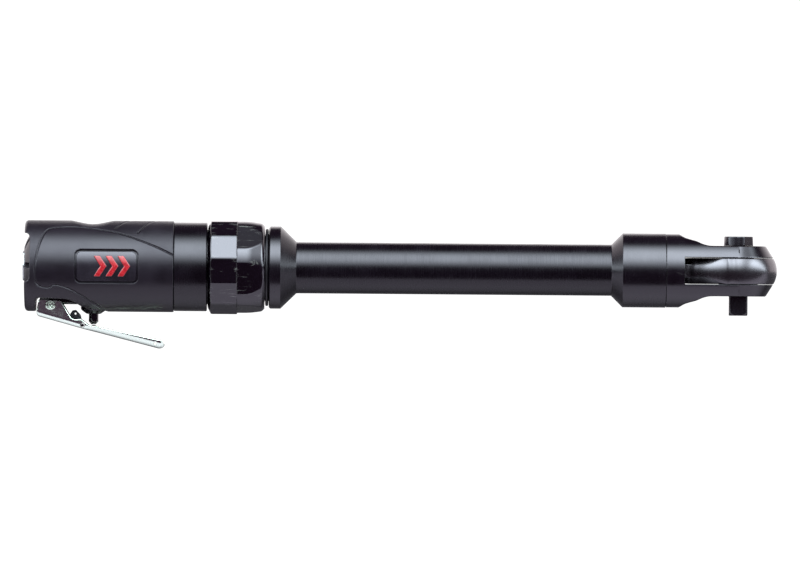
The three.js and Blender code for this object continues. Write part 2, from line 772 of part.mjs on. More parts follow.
// The head: a turned bar, thinned to two flat jaws with a slot between them for the yoke.
function ratchetHead() {
  const rear = BELL_FACE_X + GAP;
  const upper = [
    [rear, BAR_R],
    [-30.3, BAR_R],
    [-27.5, 17.0],
    [-24.5, 16.0],
    [-21.4, 15.1],
    [-18.4, 13.6],
    [-15.3, 12.9],
    [-13.0, JAW_FACE],
    [20, JAW_FACE],
  ];
  const lower = [...upper].reverse().map(([x, z]) => [x, -z]);
  const bar = rodX(BAR_R, rear - 1, 0.01, SMOOTH);
  const front = spun(
    [
      [0, -JAW_FACE],
      [JAW_TOP_R, -JAW_FACE],
      [FRONT_R, -SLOT_HALF],
      [FRONT_R, SLOT_HALF],
      [JAW_TOP_R, JAW_FACE],
      [0, JAW_FACE],
    ],
    SMOOTH,
  );
  let shape = plate([...upper, ...lower], -20, 20).intersect(bar.add(front));
  shape = shape.add(rodX(15.5, -56.8, rear + 1));
  shape = shape.subtract(block(SLOT_END_X, 30, -30, 30, -SLOT_HALF, SLOT_HALF));
  shape = shape.subtract(rodX(13.6, -38.2, SLOT_END_X + 1));
  shape = shape.subtract(rodX(9.8, -60, -38));
  shape = shape.subtract(rodZ(ANVIL_TOP_R + GAP, 0, 20));
  shape = shape.subtract(rodZ(ANVIL_R + GAP, -20, 0));
  return shape.subtract(rodZ(11.3, -12.2, -10.6));
}

// The yoke: a crowned ring with internal teeth, and a fork that the crank roller drives.
function yoke() {
  const crown = (z) => YOKE_R - 12.9 + Math.sqrt(12.9 ** 2 - z ** 2);
  const heights = [-YOKE_HALF, -3.2, 0, 3.2, YOKE_HALF];
  const barrel = heights.map((z) => [crown(z), z]);
  const ring = spun([[0, -YOKE_HALF], ...barrel, [0, YOKE_HALF]], SMOOTH);
  const arm = slab([[-7, -16.6], [-7, 16.6], [-25, 10.4], [-25, -10.4]], -YOKE_HALF, YOKE_HALF);
  const fork = slab([[-24, -10.2], [-24, 10.2], [-33.2, 10.2], [-33.2, -10.2]], -3.6, 3.6);
  const teeth = 28;
  const pitch = (2 * Math.PI) / teeth;
  const corners = [[-0.36, 12.7], [0.04, 12.7], [0.28, 11.8], [0.4, 11.8]];
  const bore = Array.from({ length: teeth }, (_, i) =>
    corners.map(([part, r]) => polar(r, pitch * (i + part))),
  ).flat();
  let shape = ring.add(arm).add(fork);
  shape = shape.subtract(slab(bore, -10, 10));
  return shape.subtract(block(-40, -21.5, -FORK_HALF, FORK_HALF, -10, 10));
}

function crankshaft() {
  const rear = -55.5;
  const web = rodX(7.0, -38.2, -34.0);
  const journal = rodX(6.0, rear, -38, 24);
  const pin = moved(rodX(CRANK_PIN_R, -35, -26.6, SMALL), 0, 0, CRANK_THROW);
  return journal.add(web).add(pin).subtract(wafer(square(SOCKET), rear - 1, -43.9));
}

// The anvil: two journals, a pocket for the pawl, and the square drive below.
function anvil() {
  const body = spun([
    [0, -10.6],
    [ANVIL_R, -10.6],
    [ANVIL_R, 5.6],
    [ANVIL_TOP_R, 5.6],
    [ANVIL_TOP_R, 12.3],
    [ANVIL_TOP_R - 0.4, 12.7],
    [0, 12.7],
  ]);
  const [s, c] = [SQUARE_HALF, 0.9];
  const chamfered = [
    [s, -s + c],
    [s, s - c],
    [s - c, s],
    [-s + c, s],
    [-s, s - c],
    [-s, -s + c],
    [-s + c, -s],
    [s - c, -s],
  ];
  const tip = spun([[0, -SQUARE_END], [4.9, -SQUARE_END], [6.3, -21.2], [7, -10], [0, -10]], 32);
  let shape = body.add(slab(chamfered, -SQUARE_END, -10).intersect(tip));
  shape = shape.subtract(block(-12, 12, 4.2, 12, -4.6, 4.6));
  shape = shape.subtract(moved(rodZ(1.5, -8.8, 6, TINY), 0, PAWL_PIN_Y, 0));
  shape = shape.subtract(rodZ(3.0 + GAP, -3.2, 14, 20));
  shape = shape.subtract(block(-5, 5, 0, 5, -2.4, 2.4));
  return shape.subtract(moved(rodY(1.8, 1.6, 6, TINY), 0, 0, -18));
}

// The pawl: a rocker on its pin with teeth at both ends and a hollow back for the detent.
function pawl() {
  const [first, last, step] = [42, 138, 4];
  const outline = [];
  for (let angle = first; angle <= last; angle += step) {
    const fromEnd = Math.min(angle - first, last - angle);
    const tooth = fromEnd < 20 && (fromEnd / step) % 2 === 0;
    const radius = tooth ? PAWL_R : PAWL_R - 0.7;
    outline.push(polar(radius, THREE.MathUtils.degToRad(angle)));
  }
  outline.push([-8.2, 5.4], [-2.2, 5.4], [-1.2, 5.75], [0, 5.9], [1.2, 5.75], [2.2, 5.4], [8.2, 5.4]);
  const body = slab(outline, -4.3, 4.3).subtract(moved(rodZ(1.5, -6, 6, TINY), 0, PAWL_PIN_Y, 0));
  return moved(body, 0, -PAWL_PIN_Y, 0);
}

// The selector: a round knob with a finger flat, and a stem that holds the detent.
function selectorKnob() {
  const knobTop = 17.6;
  const knobBase = 13.1;
  const profile = [
    [0, -2.9],
    [3.0, -2.9],
    [3.0, knobBase],
    [7.5, knobBase],
    [7.3, knobTop - 0.5],
    [6.8, knobTop],
    [0, knobTop],
  ];
  const flat = block(6.4, 9, -9, 9, knobBase - 1, knobTop + 1).rotate([0, 0, -70]);
  const detentHole = rodY(1.4, -2.6, 4, TINY);
  return spun(profile).subtract(flat).subtract(detentHole);
}

function pawlDetent() {
  const shank = rodY(1.1, 2.0, 3.9, TINY);
  return shank.add(moved(solid(new THREE.SphereGeometry(1.1, TINY, 6)), 0, 3.85, 0));
}

part(head, "crankshaft", crankshaft(), toolSteel());
part(head, "crank_bushing", ringX(6.3, 9.5, -56.0, -38.6, 24), bronze());
const roller = part(head, "crank_roller", ringX(2.1, ROLLER_R, -33.2, -27.0, 20), toolSteel());
roller.position.z = CRANK_THROW;
part(head, "ratchet_head", ratchetHead(), gunBlack());
part(head, "yoke", yoke(), gunBlack());
part(head, "anvil", anvil(), gunBlack());
const pawlMesh = part(head, "pawl", pawl(), toolSteel());
pawlMesh.position.y = PAWL_PIN_Y;
pawlMesh.rotation.z = PAWL_REST;
const pawlPin = part(head, "pawl_pin", rodZ(1.2, -8.4, 5.4, TINY), toolSteel());
pawlPin.position.y = PAWL_PIN_Y;

const selector = new THREE.Group();
selector.rotation.z = SELECTOR_REST;
head.add(selector);
part(selector, "selector_knob", selectorKnob(), gunBlack());
part(selector, "pawl_detent", pawlDetent(), toolSteel());
const detentSpring = part(selector, "detent_spring", spring(0.8, 0.2, 3.6, 4), toolSteel());
detentSpring.position.y = -2.2;
detentSpring.rotation.x = -Math.PI / 2;

part(head, "thrust_washer", spun([[8.3, 5.9], [9.8, 5.9], [9.8, 6.45], [8.3, 6.45]]), bronze());
const clipProfile = [[7.2, -11.9], [11.0, -11.9], [11.0, -10.9], [7.2, -10.9]];
const clip = spun(clipProfile).subtract(block(-4, 4, -15, 0, -13, -10));
part(head, "anvil_retaining_ring", clip, toolSteel());
const ball = part(head, "socket_ball", solid(new THREE.SphereGeometry(1.5, 10, 8)), brightChrome());
ball.position.set(0, 3.6, -18);

export default ratchet;
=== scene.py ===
# Looks of the air ratchet. Local measures are millimetres from the tool axis, with x along the tool.

import json
import math

import bpy
import numpy as np
from mathutils import Matrix, Vector


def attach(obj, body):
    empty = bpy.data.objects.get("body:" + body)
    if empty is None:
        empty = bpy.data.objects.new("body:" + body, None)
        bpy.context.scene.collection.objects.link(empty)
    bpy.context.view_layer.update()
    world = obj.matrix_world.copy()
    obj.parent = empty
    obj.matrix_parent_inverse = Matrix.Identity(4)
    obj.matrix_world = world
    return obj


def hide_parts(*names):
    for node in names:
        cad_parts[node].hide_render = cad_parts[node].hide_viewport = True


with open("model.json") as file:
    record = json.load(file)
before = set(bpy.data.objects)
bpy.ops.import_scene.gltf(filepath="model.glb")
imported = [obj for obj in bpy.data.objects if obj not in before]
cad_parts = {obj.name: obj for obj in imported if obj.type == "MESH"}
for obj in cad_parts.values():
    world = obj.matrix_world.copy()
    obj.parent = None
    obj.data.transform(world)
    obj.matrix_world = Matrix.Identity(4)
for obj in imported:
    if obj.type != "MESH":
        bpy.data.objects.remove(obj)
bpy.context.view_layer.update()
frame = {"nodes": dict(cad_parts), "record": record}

MM = 0.001
AXIS_Z = 22.6
HANDLE = -327.3
NECK = -238.4
HEAD = 0.0
LEVER_PIVOT = (-21.8, -19.8)
LATCH_PIVOT = (-5.5, -30.0)
PORT_OFFSET = 8.84
BADGE_MARK_R = 22.42
THREAD_PITCH = 1.41
YOKE_CROWN_R = 12.9


# ---------------------------------------------------------------- distance fields

def hyp(a, b):
    return np.sqrt(a * a + b * b)


def both(a, b, r=0.0):
    """Where a and b overlap, with the edge between them rounded to radius r."""
    if not r:
        return np.maximum(a, b)
    return np.minimum(-r, np.maximum(a, b)) + hyp(np.maximum(r + a, 0), np.maximum(r + b, 0))


def join(a, b, r=0.0):
    """a and b together, with a fillet of radius r between them."""
    if not r:
        return np.minimum(a, b)
    return np.maximum(r, np.minimum(a, b)) - hyp(np.maximum(r - a, 0), np.maximum(r - b, 0))


def cut(a, b, r=0.0):
    return both(a, -b, r)


def span(v, low, high):
    return np.maximum(low - v, v - high)


def box3(x, y, z, x0, x1, y0, y1, z0, z1, r=0.0):
    return both(both(span(x, x0, x1), span(y, y0, y1), r), span(z, z0, z1), r)


def outline(u, v, points):
    """Signed distance to a closed outline."""
    shape = np.broadcast(u, v).shape
    near = np.full(shape, 1e9)
    inside = np.zeros(shape, bool)
    for i in range(len(points)):
        (ax, ay), (bx, by) = points[i - 1], points[i]
        ex, ey = bx - ax, by - ay
        if abs(ex) + abs(ey) < 1e-9:
            continue
        wx, wy = u - ax, v - ay
        t = np.clip((wx * ex + wy * ey) / (ex * ex + ey * ey), 0, 1)
        near = np.minimum(near, (wx - ex * t) ** 2 + (wy - ey * t) ** 2)
        if ey:
            crosses = (np.minimum(ay, by) <= v) & (np.maximum(ay, by) > v)
            inside ^= crosses & (u < ax + wy * ex / ey)
    return np.where(inside, -1.0, 1.0) * np.sqrt(near)


def line_distance(u, v, points):
    near = np.full(np.broadcast(u, v).shape, 1e9)
    for (ax, ay), (bx, by) in zip(points, points[1:]):
        ex, ey = bx - ax, by - ay
        wx, wy = u - ax, v - ay
        t = np.clip((wx * ex + wy * ey) / (ex * ex + ey * ey), 0, 1)
        near = np.minimum(near, (wx - ex * t) ** 2 + (wy - ey * t) ** 2)
    return np.sqrt(near)


def eased(points, radius, steps=4):
    """A closed outline with its corners rounded. radius is one number, or one for each point."""
    radii = radius if isinstance(radius, (list, tuple)) else [radius] * len(points)
    out = []
    for i, p in enumerate(points):
        a, b, c = np.array(points[i - 1]), np.array(p), np.array(points[(i + 1) % len(points)])
        u, w = a - b, c - b
        lu, lw = np.hypot(*u), np.hypot(*w)
        u, w = u / lu, w / lw
        half = math.acos(max(-1.0, min(1.0, float(u @ w)))) / 2
        if radii[i] <= 0 or half > math.radians(88):
            out.append(tuple(b))
            continue
        reach = min(radii[i] / math.tan(half), 0.45 * lu, 0.45 * lw)
        r = reach * math.tan(half)
        middle = b + (u + w) / np.hypot(*(u + w)) * (r / math.sin(half))
        start, end = b + u * reach - middle, b + w * reach - middle
        a0, a1 = math.atan2(start[1], start[0]), math.atan2(end[1], end[0])
        turn = (a1 - a0 + math.pi) % (2 * math.pi) - math.pi
        for s in range(steps + 1):
            a = a0 + turn * s / steps
            out.append((middle[0] + r * math.cos(a), middle[1] + r * math.sin(a)))
    return out


def curve(points, steps=5):
    """A smooth open line through the points."""
    p = [np.array(q, float) for q in points]
    p = [2 * p[0] - p[1], *p, 2 * p[-1] - p[-2]]
    out = []
    for i in range(1, len(p) - 2):
        for s in range(steps):
            t = s / steps
            a, b, c, d = p[i - 1 : i + 3]
            q = 2 * b + (c - a) * t + (2 * a - 5 * b + 4 * c - d) * t**2 + (3 * b - a - 3 * c + d) * t**3
            out.append(tuple(q / 2))
    out.append(tuple(p[-2]))
    return out


def facets(y, z, count, apothem, centre, r):
    """A prism along x. centre is the angle of one flat, from -y towards +z, in degrees."""
    pitch = 2 * math.pi / count
    angle = np.arctan2(z, -y) - math.radians(centre)
    off = np.abs((angle + pitch / 2) % pitch - pitch / 2)
    radius = hyp(y, z)
    return both(radius * np.cos(off) - apothem, radius * np.cos(pitch - off) - apothem, r)


# ---------------------------------------------------------------- meshes

CORNERS = [(0, 0, 0), (1, 0, 0), (0, 1, 0), (1, 1, 0), (0, 0, 1), (1, 0, 1), (0, 1, 1), (1, 1, 1)]
EDGES = [(0, 1), (2, 3), (4, 5), (6, 7), (0, 2), (1, 3), (4, 6), (5, 7), (0, 4), (1, 5), (2, 6), (3, 7)]


def skin(field, xs, ys, zs):
    """Quads round the zero of a distance field, from a grid of samples."""
    shape = (len(xs), len(ys), len(zs))
    v = np.array(np.broadcast_to(field(xs[:, None, None], ys[None, :, None], zs[None, None, :]), shape))
    s = v < 0
    some = np.zeros([n - 1 for n in shape], bool)
    every = np.ones_like(some)
    for i, j, k in CORNERS:
        part = s[i : shape[0] - 1 + i, j : shape[1] - 1 + j, k : shape[2] - 1 + k]
        some |= part
        every &= part
    cells = np.argwhere(some & ~every)
    index = np.full(some.shape, -1)
    index[tuple(cells.T)] = np.arange(len(cells))
    total = np.zeros((len(cells), 3))
    count = np.zeros(len(cells))
    axes = (xs, ys, zs)
    for a, b in EDGES:
        ca, cb = cells + CORNERS[a], cells + CORNERS[b]
        va, vb = v[tuple(ca.T)], v[tuple(cb.T)]
        crossed = (va < 0) != (vb < 0)
        t = np.where(crossed, va / np.where(crossed, va - vb, 1), 0)
        for axis in range(3):
            pa, pb = axes[axis][ca[:, axis]], axes[axis][cb[:, axis]]
            total[:, axis] += np.where(crossed, pa + (pb - pa) * t, 0)
        count += crossed
    points = total / count[:, None]
    faces = []
    for axis in range(3):
        low = [slice(None)] * 3
        high = [slice(None)] * 3
        low[axis], high[axis] = slice(0, -1), slice(1, None)
        change = s[tuple(low)] != s[tuple(high)]
        at = np.argwhere(change)
        o1, o2 = (axis + 1) % 3, (axis + 2) % 3
        at = at[(at[:, o1] > 0) & (at[:, o2] > 0)]
        at = at[(at[:, o1] < shape[o1] - 1) & (at[:, o2] < shape[o2] - 1)]
        ring = []
        for d1, d2 in ((-1, -1), (0, -1), (0, 0), (-1, 0)):
            c = at.copy()
            c[:, o1] += d1
            c[:, o2] += d2
            ring.append(index[tuple(c.T)])
        quad = np.stack(ring, 1)
        inside_low = s[tuple(at.T)]
        quad[~inside_low] = quad[~inside_low][:, ::-1]
        faces.append(quad)
    return points, np.concatenate(faces)


def settle(field, points, step, rounds=3):
    """Moves points onto the surface, and gives the surface normal at each."""
    e = 0.015
    p = points.copy()
    for _ in range(rounds):
        x, y, z = p.T
        d = field(x, y, z)
        g = np.stack(
            [
                field(x + e, y, z) - field(x - e, y, z),
                field(x, y + e, z) - field(x, y - e, z),
                field(x, y, z + e) - field(x, y, z - e),
            ],
            1,
        ) / (2 * e)
        size = np.maximum(np.linalg.norm(g, axis=1, keepdims=True), 0.2)
        n = g / size
        p = p - n * np.clip(d[:, None] / size, -step, step)
    return p, n / np.maximum(np.linalg.norm(n, axis=1, keepdims=True), 1e-9)


def make(name, points, faces, normals, origin, materials, turn=None):
    """An object from points in local millimetres, with their normals. turn may mirror it."""
    faces = faces.tolist() if isinstance(faces, np.ndarray) else faces
    if turn is not None:
        points, normals = points @ turn.T, normals @ turn.T
        if np.linalg.det(turn) < 0:
            faces = [f[::-1] for f in faces]
    world = (points + np.array([origin, 0, AXIS_Z])) * MM
    mesh = bpy.data.meshes.new(name)
    mesh.from_pydata(world.tolist(), [], faces)
    mesh.polygons.foreach_set("use_smooth", [True] * len(mesh.polygons))
    for material in materials:
        mesh.materials.append(material)
    mesh.normals_split_custom_set_from_vertices(normals.tolist())
    mesh.update()
    piece = bpy.data.objects.new(name, mesh)
    bpy.context.scene.collection.objects.link(piece)
    return piece


def carve(name, field, box, step, origin, materials, detail=None, turn=None, xs=None):
    """A piece from a distance field. box is its low and high corner, and detail a finer field."""
    (x0, y0, z0), (x1, y1, z1) = box
    grids = [np.arange(a - 1.3 * step, b + 2.3 * step, step) for a, b in ((x0, x1), (y0, y1), (z0, z1))]
    if xs is not None:
        grids[0] = np.asarray(xs, float)
    points, faces = skin(field, *grids)
    points, normals = settle(detail or field, points, step)
    return make(name, points, faces, normals, origin, materials, turn)


def turned(name, profile, origin, materials, sides=192, about="x", turn=None):
    """A turned piece. profile is a closed outline of (station, radius, rounding)."""
    flat = [(a, r) for a, r, _ in profile]
    area = sum(x * w - u * y for (x, y), (u, w) in zip(flat, flat[1:] + flat[:1]))
    if area < 0:
        profile = profile[::-1]
        flat = flat[::-1]
    stations, bows = [], []
    for i, (a, r, rounding) in enumerate(profile):
        before, here, after = (np.array(flat[j % len(flat)]) for j in (i - 1, i, i + 1))
        u, w = before - here, after - here
        lu, lw = np.hypot(*u), np.hypot(*w)
        n0 = np.array([(here - before)[1], -(here - before)[0]]) / lu
        n1 = np.array([(after - here)[1], -(after - here)[0]]) / lw
        if r <= 0 or rounding <= 0 or n0 @ n1 > 0.9999:
            stations.append(here)
            at_axis = n0 if before[1] > 0 else n1
            bows.append(at_axis if r <= 0 else (n0 + n1) / np.hypot(*(n0 + n1)))
            continue
        swing = math.acos(float(np.clip(n0 @ n1, -1, 1)))
        half = (math.pi - swing) / 2
        reach = min(rounding / math.tan(half), 0.48 * lu, 0.48 * lw)
        rr = reach * math.tan(half)
        start = here + u / lu * reach
        convex = (n0[0] * n1[1] - n0[1] * n1[0]) > 0
        middle = start - n0 * rr if convex else start + n0 * rr
        steps = max(3, int(math.degrees(swing) / 12))
        for s in range(steps + 1):
            t = s / steps
            k0 = math.sin((1 - t) * swing) / math.sin(swing)
            k1 = math.sin(t * swing) / math.sin(swing)
            n = n0 * k0 + n1 * k1
            stations.append(middle + n * rr if convex else middle - n * rr)
            bows.append(n)
    angles = np.linspace(0, 2 * math.pi, sides, endpoint=False)
    c, s = np.cos(angles), np.sin(angles)

    def placed(v, k):
        ring = (v[1] * c[k], v[1] * s[k])
        return (v[0], *ring) if about == "x" else (*ring, v[0])

    points, normals, rows = [], [], []
    for p, n in zip(stations, bows):
        count = 1 if p[1] <= 1e-9 else sides
        n = (math.copysign(1, n[0]), 0.0) if count == 1 else n
        rows.append((len(points), count))
        points += [placed(p, k) for k in range(count)]
        normals += [placed(n, k) for k in range(count)]
    faces = []
    for i in range(len(rows)):
        (a, na), (b, nb) = rows[i], rows[(i + 1) % len(rows)]
        if na == 1 and nb == 1:
            continue
        for k in range(sides):
            m = (k + 1) % sides
            ring = [a + k % na, b + k % nb, b + m % nb, a + m % na]
            clean = [v for j, v in enumerate(ring) if v != ring[j - 1]]
            faces.append(clean if about == "x" else clean[::-1])
    points, normals = np.array(points, float), np.array(normals, float)
    probe = next(f for f in faces if len(f) == 4)
    q = points[probe]
    facing = np.cross(q[1] - q[0], q[2] - q[0]) @ normals[probe].mean(0)
    if facing < 0:
        faces = [f[::-1] for f in faces]
    return make(name, points, faces, normals, origin, materials, turn)


# ---------------------------------------------------------------- materials

class Paint:
    """A Principled material and a few short ways to add detail to it."""

    def __init__(self, name, **values):
        self.material = bpy.data.materials.new(name)
        self.material.use_nodes = True
        self.tree = self.material.node_tree
        self.shader = next(n for n in self.tree.nodes if n.type == "BSDF_PRINCIPLED")
        self.coords = self.tree.nodes.new("ShaderNodeTexCoord").outputs["Object"]
        for key, value in values.items():
            socket = self.shader.inputs[key.replace("_", " ")]
            socket.default_value = (*value, 1.0) if isinstance(value, tuple) else value

    def link(self, a, b):
        self.tree.links.new(a, b)

    def mapped(self, scale):
        m = self.tree.nodes.new("ShaderNodeMapping")
        m.inputs["Scale"].default_value = scale
        self.link(self.coords, m.inputs["Vector"])
        return m.outputs["Vector"]

    def noise(self, scale, detail=3.0, rough=0.5, distortion=0.0):
        """Fac of a noise. scale is in cycles a metre, one number or one for each axis."""
        n = self.tree.nodes.new("ShaderNodeTexNoise")
        per_axis = scale if isinstance(scale, tuple) else (scale,) * 3
        self.link(self.mapped(per_axis), n.inputs["Vector"])
        n.inputs["Scale"].default_value = 1.0
        n.inputs["Detail"].default_value = detail
        n.inputs["Roughness"].default_value = rough
        n.inputs["Distortion"].default_value = distortion
        return n.outputs["Fac"]

    def cells(self, scale):
        n = self.tree.nodes.new("ShaderNodeTexVoronoi")
        self.link(self.mapped((scale,) * 3), n.inputs["Vector"])
        n.inputs["Scale"].default_value = 1.0
        return n.outputs["Distance"]

    def ramp(self, fac, low, high, a=0.0, b=1.0):
        n = self.tree.nodes.new("ShaderNodeMapRange")
        n.inputs["From Min"].default_value = low
        n.inputs["From Max"].default_value = high
        n.inputs["To Min"].default_value = a
        n.inputs["To Max"].default_value = b
        self.link(fac, n.inputs["Value"])
        return n.outputs["Result"]

    def maths(self, operation, a, b=None):
        n = self.tree.nodes.new("ShaderNodeMath")
        n.operation = operation
        for socket, value in zip(n.inputs, (a, b)):
            if value is None:
                continue
            if isinstance(value, (int, float)):
                socket.default_value = value
            else:
                self.link(value, socket)
        return n.outputs["Value"]

    def blend(self, fac, a, b):
        n = self.tree.nodes.new("ShaderNodeMix")
        n.data_type = "RGBA"
        self.link(fac, n.inputs[0])
        for socket, value in ((n.inputs[6], a), (n.inputs[7], b)):
            if isinstance(value, tuple):
                socket.default_value = (*value, 1.0)
            else:
                self.link(value, socket)
        return n.outputs[2]

    def edges(self, low=0.52, high=0.62):
        """1 on convex edges, 0 elsewhere."""
        g = self.tree.nodes.new("ShaderNodeNewGeometry")
        return self.ramp(g.outputs["Pointiness"], low, high)

    def attribute(self, name):
        n = self.tree.nodes.new("ShaderNodeAttribute")
        n.attribute_name = name
        return n.outputs["Fac"]

    def colour(self, socket):
        self.link(socket, self.shader.inputs["Base Color"])
        return self

    def roughness(self, socket):
        self.link(socket, self.shader.inputs["Roughness"])
        return self

    def bump(self, height, distance, strength=1.0):
        """height is 0 to 1, and distance its real depth in metres."""
        b = self.tree.nodes.new("ShaderNodeBump")
        b.inputs["Strength"].default_value = strength
        b.inputs["Distance"].default_value = distance
        self.link(height, b.inputs["Height"])
        old = self.shader.inputs["Normal"].links
        if old:
            self.link(old[0].from_socket, b.inputs["Normal"])
        self.link(b.outputs["Normal"], self.shader.inputs["Normal"])
        return self


COATING_CAST = (1.0, 0.9, 1.0)


def coated_steel(name, tint, ior, rough, lines=0.0, wear=0.0, worn=(0.10, 0.095, 0.09)):
    """Black coated steel: fine turning lines round x, smudges, and paler edges where it's worn."""
    p = Paint(name, Base_Color=tint, IOR=ior, Roughness=rough, Specular_Tint=COATING_CAST)
    fine = p.noise((5200, 60, 60), 4.0, 0.65)
    broad = p.noise((700, 14, 14), 3.0, 0.5)
    smudge = p.noise(55, 4.0, 0.6, 0.4)
    speck = p.ramp(p.noise(900, 2.0, 0.6), 0.66, 0.74)
    shade = p.blend(p.ramp(smudge, 0.35, 0.7), tint, tuple(c * 2.2 for c in tint))
    if wear:
        scratch = p.ramp(p.noise((90, 1400, 300), 3.0, 0.6, 0.8), 0.60, 0.72)
        rub = p.maths("MULTIPLY", p.ramp(smudge, 0.62 - 0.3 * wear, 0.8 - 0.3 * wear), scratch)
        shade = p.blend(p.maths("MULTIPLY", rub, wear), shade, worn)
        shade = p.blend(p.maths("MULTIPLY", p.edges(), 0.6 * wear), shade, worn)
    p.colour(shade)
    uneven = p.maths("ADD", p.ramp(smudge, 0.3, 0.75, -0.35, 0.45),
                     p.ramp(fine, 0.3, 0.7, -0.5 * lines, 0.5 * lines))
    uneven = p.maths("ADD", uneven, p.maths("MULTIPLY", speck, 0.5))
    p.roughness(p.maths("MAXIMUM", p.maths("ADD", p.maths("MULTIPLY", uneven, rough * 0.5), rough), 0.03))
    if lines:
        p.bump(fine, 1.6e-6 * lines)
        p.bump(broad, 1.2e-6 * lines)
    p.bump(p.noise(420, 3.0, 0.6), 1.5e-6)
    return p.material


def moulded(name, tint, ior, rough, grain, zone=None):
    """Moulded rubber or plastic with a fine stipple. zone names an attribute, 1 where smoother; with a zone,
    the grooves also get painted shade from a second attribute.
    """
    p = Paint(name, Base_Color=tint, IOR=ior, Roughness=rough, Specular_Tint=COATING_CAST)
    smudge = p.noise(70, 4.0, 0.6, 0.3)
    pits = p.cells(2600)
    dust = p.noise(3400, 3.0, 0.7)
    pale = tuple(c * 1.9 for c in tint)
    shade = p.blend(p.ramp(smudge, 0.35, 0.72), tint, pale)
    shade = p.blend(p.maths("MULTIPLY", p.ramp(dust, 0.58, 0.72), 0.5), shade, tuple(c * 3 for c in tint))
    shade = p.blend(p.maths("MULTIPLY", p.edges(), 0.45), shade, tuple(c * 3 + 0.01 for c in tint))
    stipple = p.maths("MULTIPLY", pits, grain)
    base = p.ramp(smudge, 0.3, 0.75, rough * 0.86, rough * 1.16)
    if zone:
        smooth = p.attribute(zone)
        keep = p.ramp(smooth, 0.0, 1.0, 1.0, 0.28)
        stipple = p.maths("MULTIPLY", stipple, keep)
        base = p.maths("MULTIPLY", base, p.ramp(smooth, 0.0, 1.0, 1.12, 0.92))
        # Painted shade: the colour in the grooves goes near black, and the grooves are made rougher.
        painted_groove_shade = p.attribute("groove_shade_mask")
        base = p.maths("ADD", base, p.maths("MULTIPLY", painted_groove_shade, 0.5))
        shade = p.blend(painted_groove_shade, shade, (0.001, 0.0008, 0.001))
    p.colour(shade).roughness(base)
    p.bump(stipple, 3.5e-5).bump(dust, 6e-6)
    return p.material


def bare_metal(name, tint, rough, lines=(300, 2600, 300), dull=0.3, cast=0.0):
    """Bare metal with grinding lines, stains and a cast or sintered skin where cast is over 0."""
    p = Paint(name, Base_Color=tint, Metallic=1.0, Roughness=rough)
    grind = p.noise(lines, 4.0, 0.6)
    stain = p.noise(110, 5.0, 0.6, 0.6)
    shade = p.blend(p.ramp(stain, 0.38, 0.7), tint, tuple(c * (1 - dull) for c in tint))
    shade = p.blend(p.maths("MULTIPLY", p.ramp(grind, 0.45, 0.75), 0.25), shade,
                    tuple(min(1.0, c * 1.25) for c in tint))
    p.colour(shade)
    p.roughness(p.maths("ADD", p.ramp(stain, 0.3, 0.75, 0.75 * rough, 1.35 * rough),
                        p.ramp(grind, 0.3, 0.7, -0.04, 0.05)))
    p.bump(grind, 2.5e-6)
    if cast:
        p.bump(p.noise(1500, 4.0, 0.7), 2.2e-5 * cast)
    return p.material


def chrome_plate():
    p = Paint("bright_chrome", Base_Color=(0.84, 0.90, 0.80), Metallic=1.0, Roughness=0.1)
    ripple = p.noise(150, 3.0, 0.5, 0.2)
    hair = p.noise((180, 2600, 2600), 3.0, 0.6)
    spots = p.ramp(p.noise(1300, 2.0, 0.5), 0.70, 0.78)
    p.colour(p.blend(spots, (0.84, 0.90, 0.80), (0.60, 0.62, 0.56)))
    p.roughness(p.maths("ADD", p.ramp(ripple, 0.3, 0.75, 0.08, 0.2), p.maths("MULTIPLY", spots, 0.2)))
    p.bump(ripple, 3.0e-5).bump(hair, 9e-7)
    return p.material


def enamel():
    p = Paint("red_enamel", Base_Color=(0.34, 0.008, 0.014), IOR=1.5, Roughness=0.22, Coat_Weight=0.6,
              Coat_Roughness=0.12)
    mottle = p.noise(420, 4.0, 0.6, 0.3)
    shade = p.blend(p.ramp(mottle, 0.35, 0.7), (0.26, 0.006, 0.011), (0.40, 0.014, 0.02))
    p.colour(p.blend(p.maths("MULTIPLY", p.edges(0.5, 0.58), 0.5), shade, (0.60, 0.06, 0.06)))
    p.roughness(p.ramp(mottle, 0.3, 0.7, 0.16, 0.34))
    p.bump(mottle, 1.6e-5)
    return p.material


def felt():
    p = Paint("grey_felt", Base_Color=(0.36, 0.34, 0.30), Roughness=0.95, Sheen_Weight=0.5)
    fibre = p.noise((2600, 900, 900), 5.0, 0.8, 1.2)
    p.colour(p.blend(fibre, (0.22, 0.21, 0.19), (0.50, 0.48, 0.44)))
    p.roughness(p.ramp(fibre, 0.3, 0.7, 0.85, 1.0))
    p.bump(fibre, 2e-4)
    return p.material


def resin_fibre():
    p = Paint("vane_fibre", Base_Color=(0.16, 0.08, 0.04), Roughness=0.6)
    weave = p.noise((800, 3000, 800), 4.0, 0.6)
    p.colour(p.blend(p.ramp(weave, 0.35, 0.65), (0.10, 0.045, 0.02), (0.24, 0.13, 0.07)))
    p.roughness(p.ramp(weave, 0.3, 0.7, 0.5, 0.75))
    p.bump(weave, 1.2e-5)
    return p.material


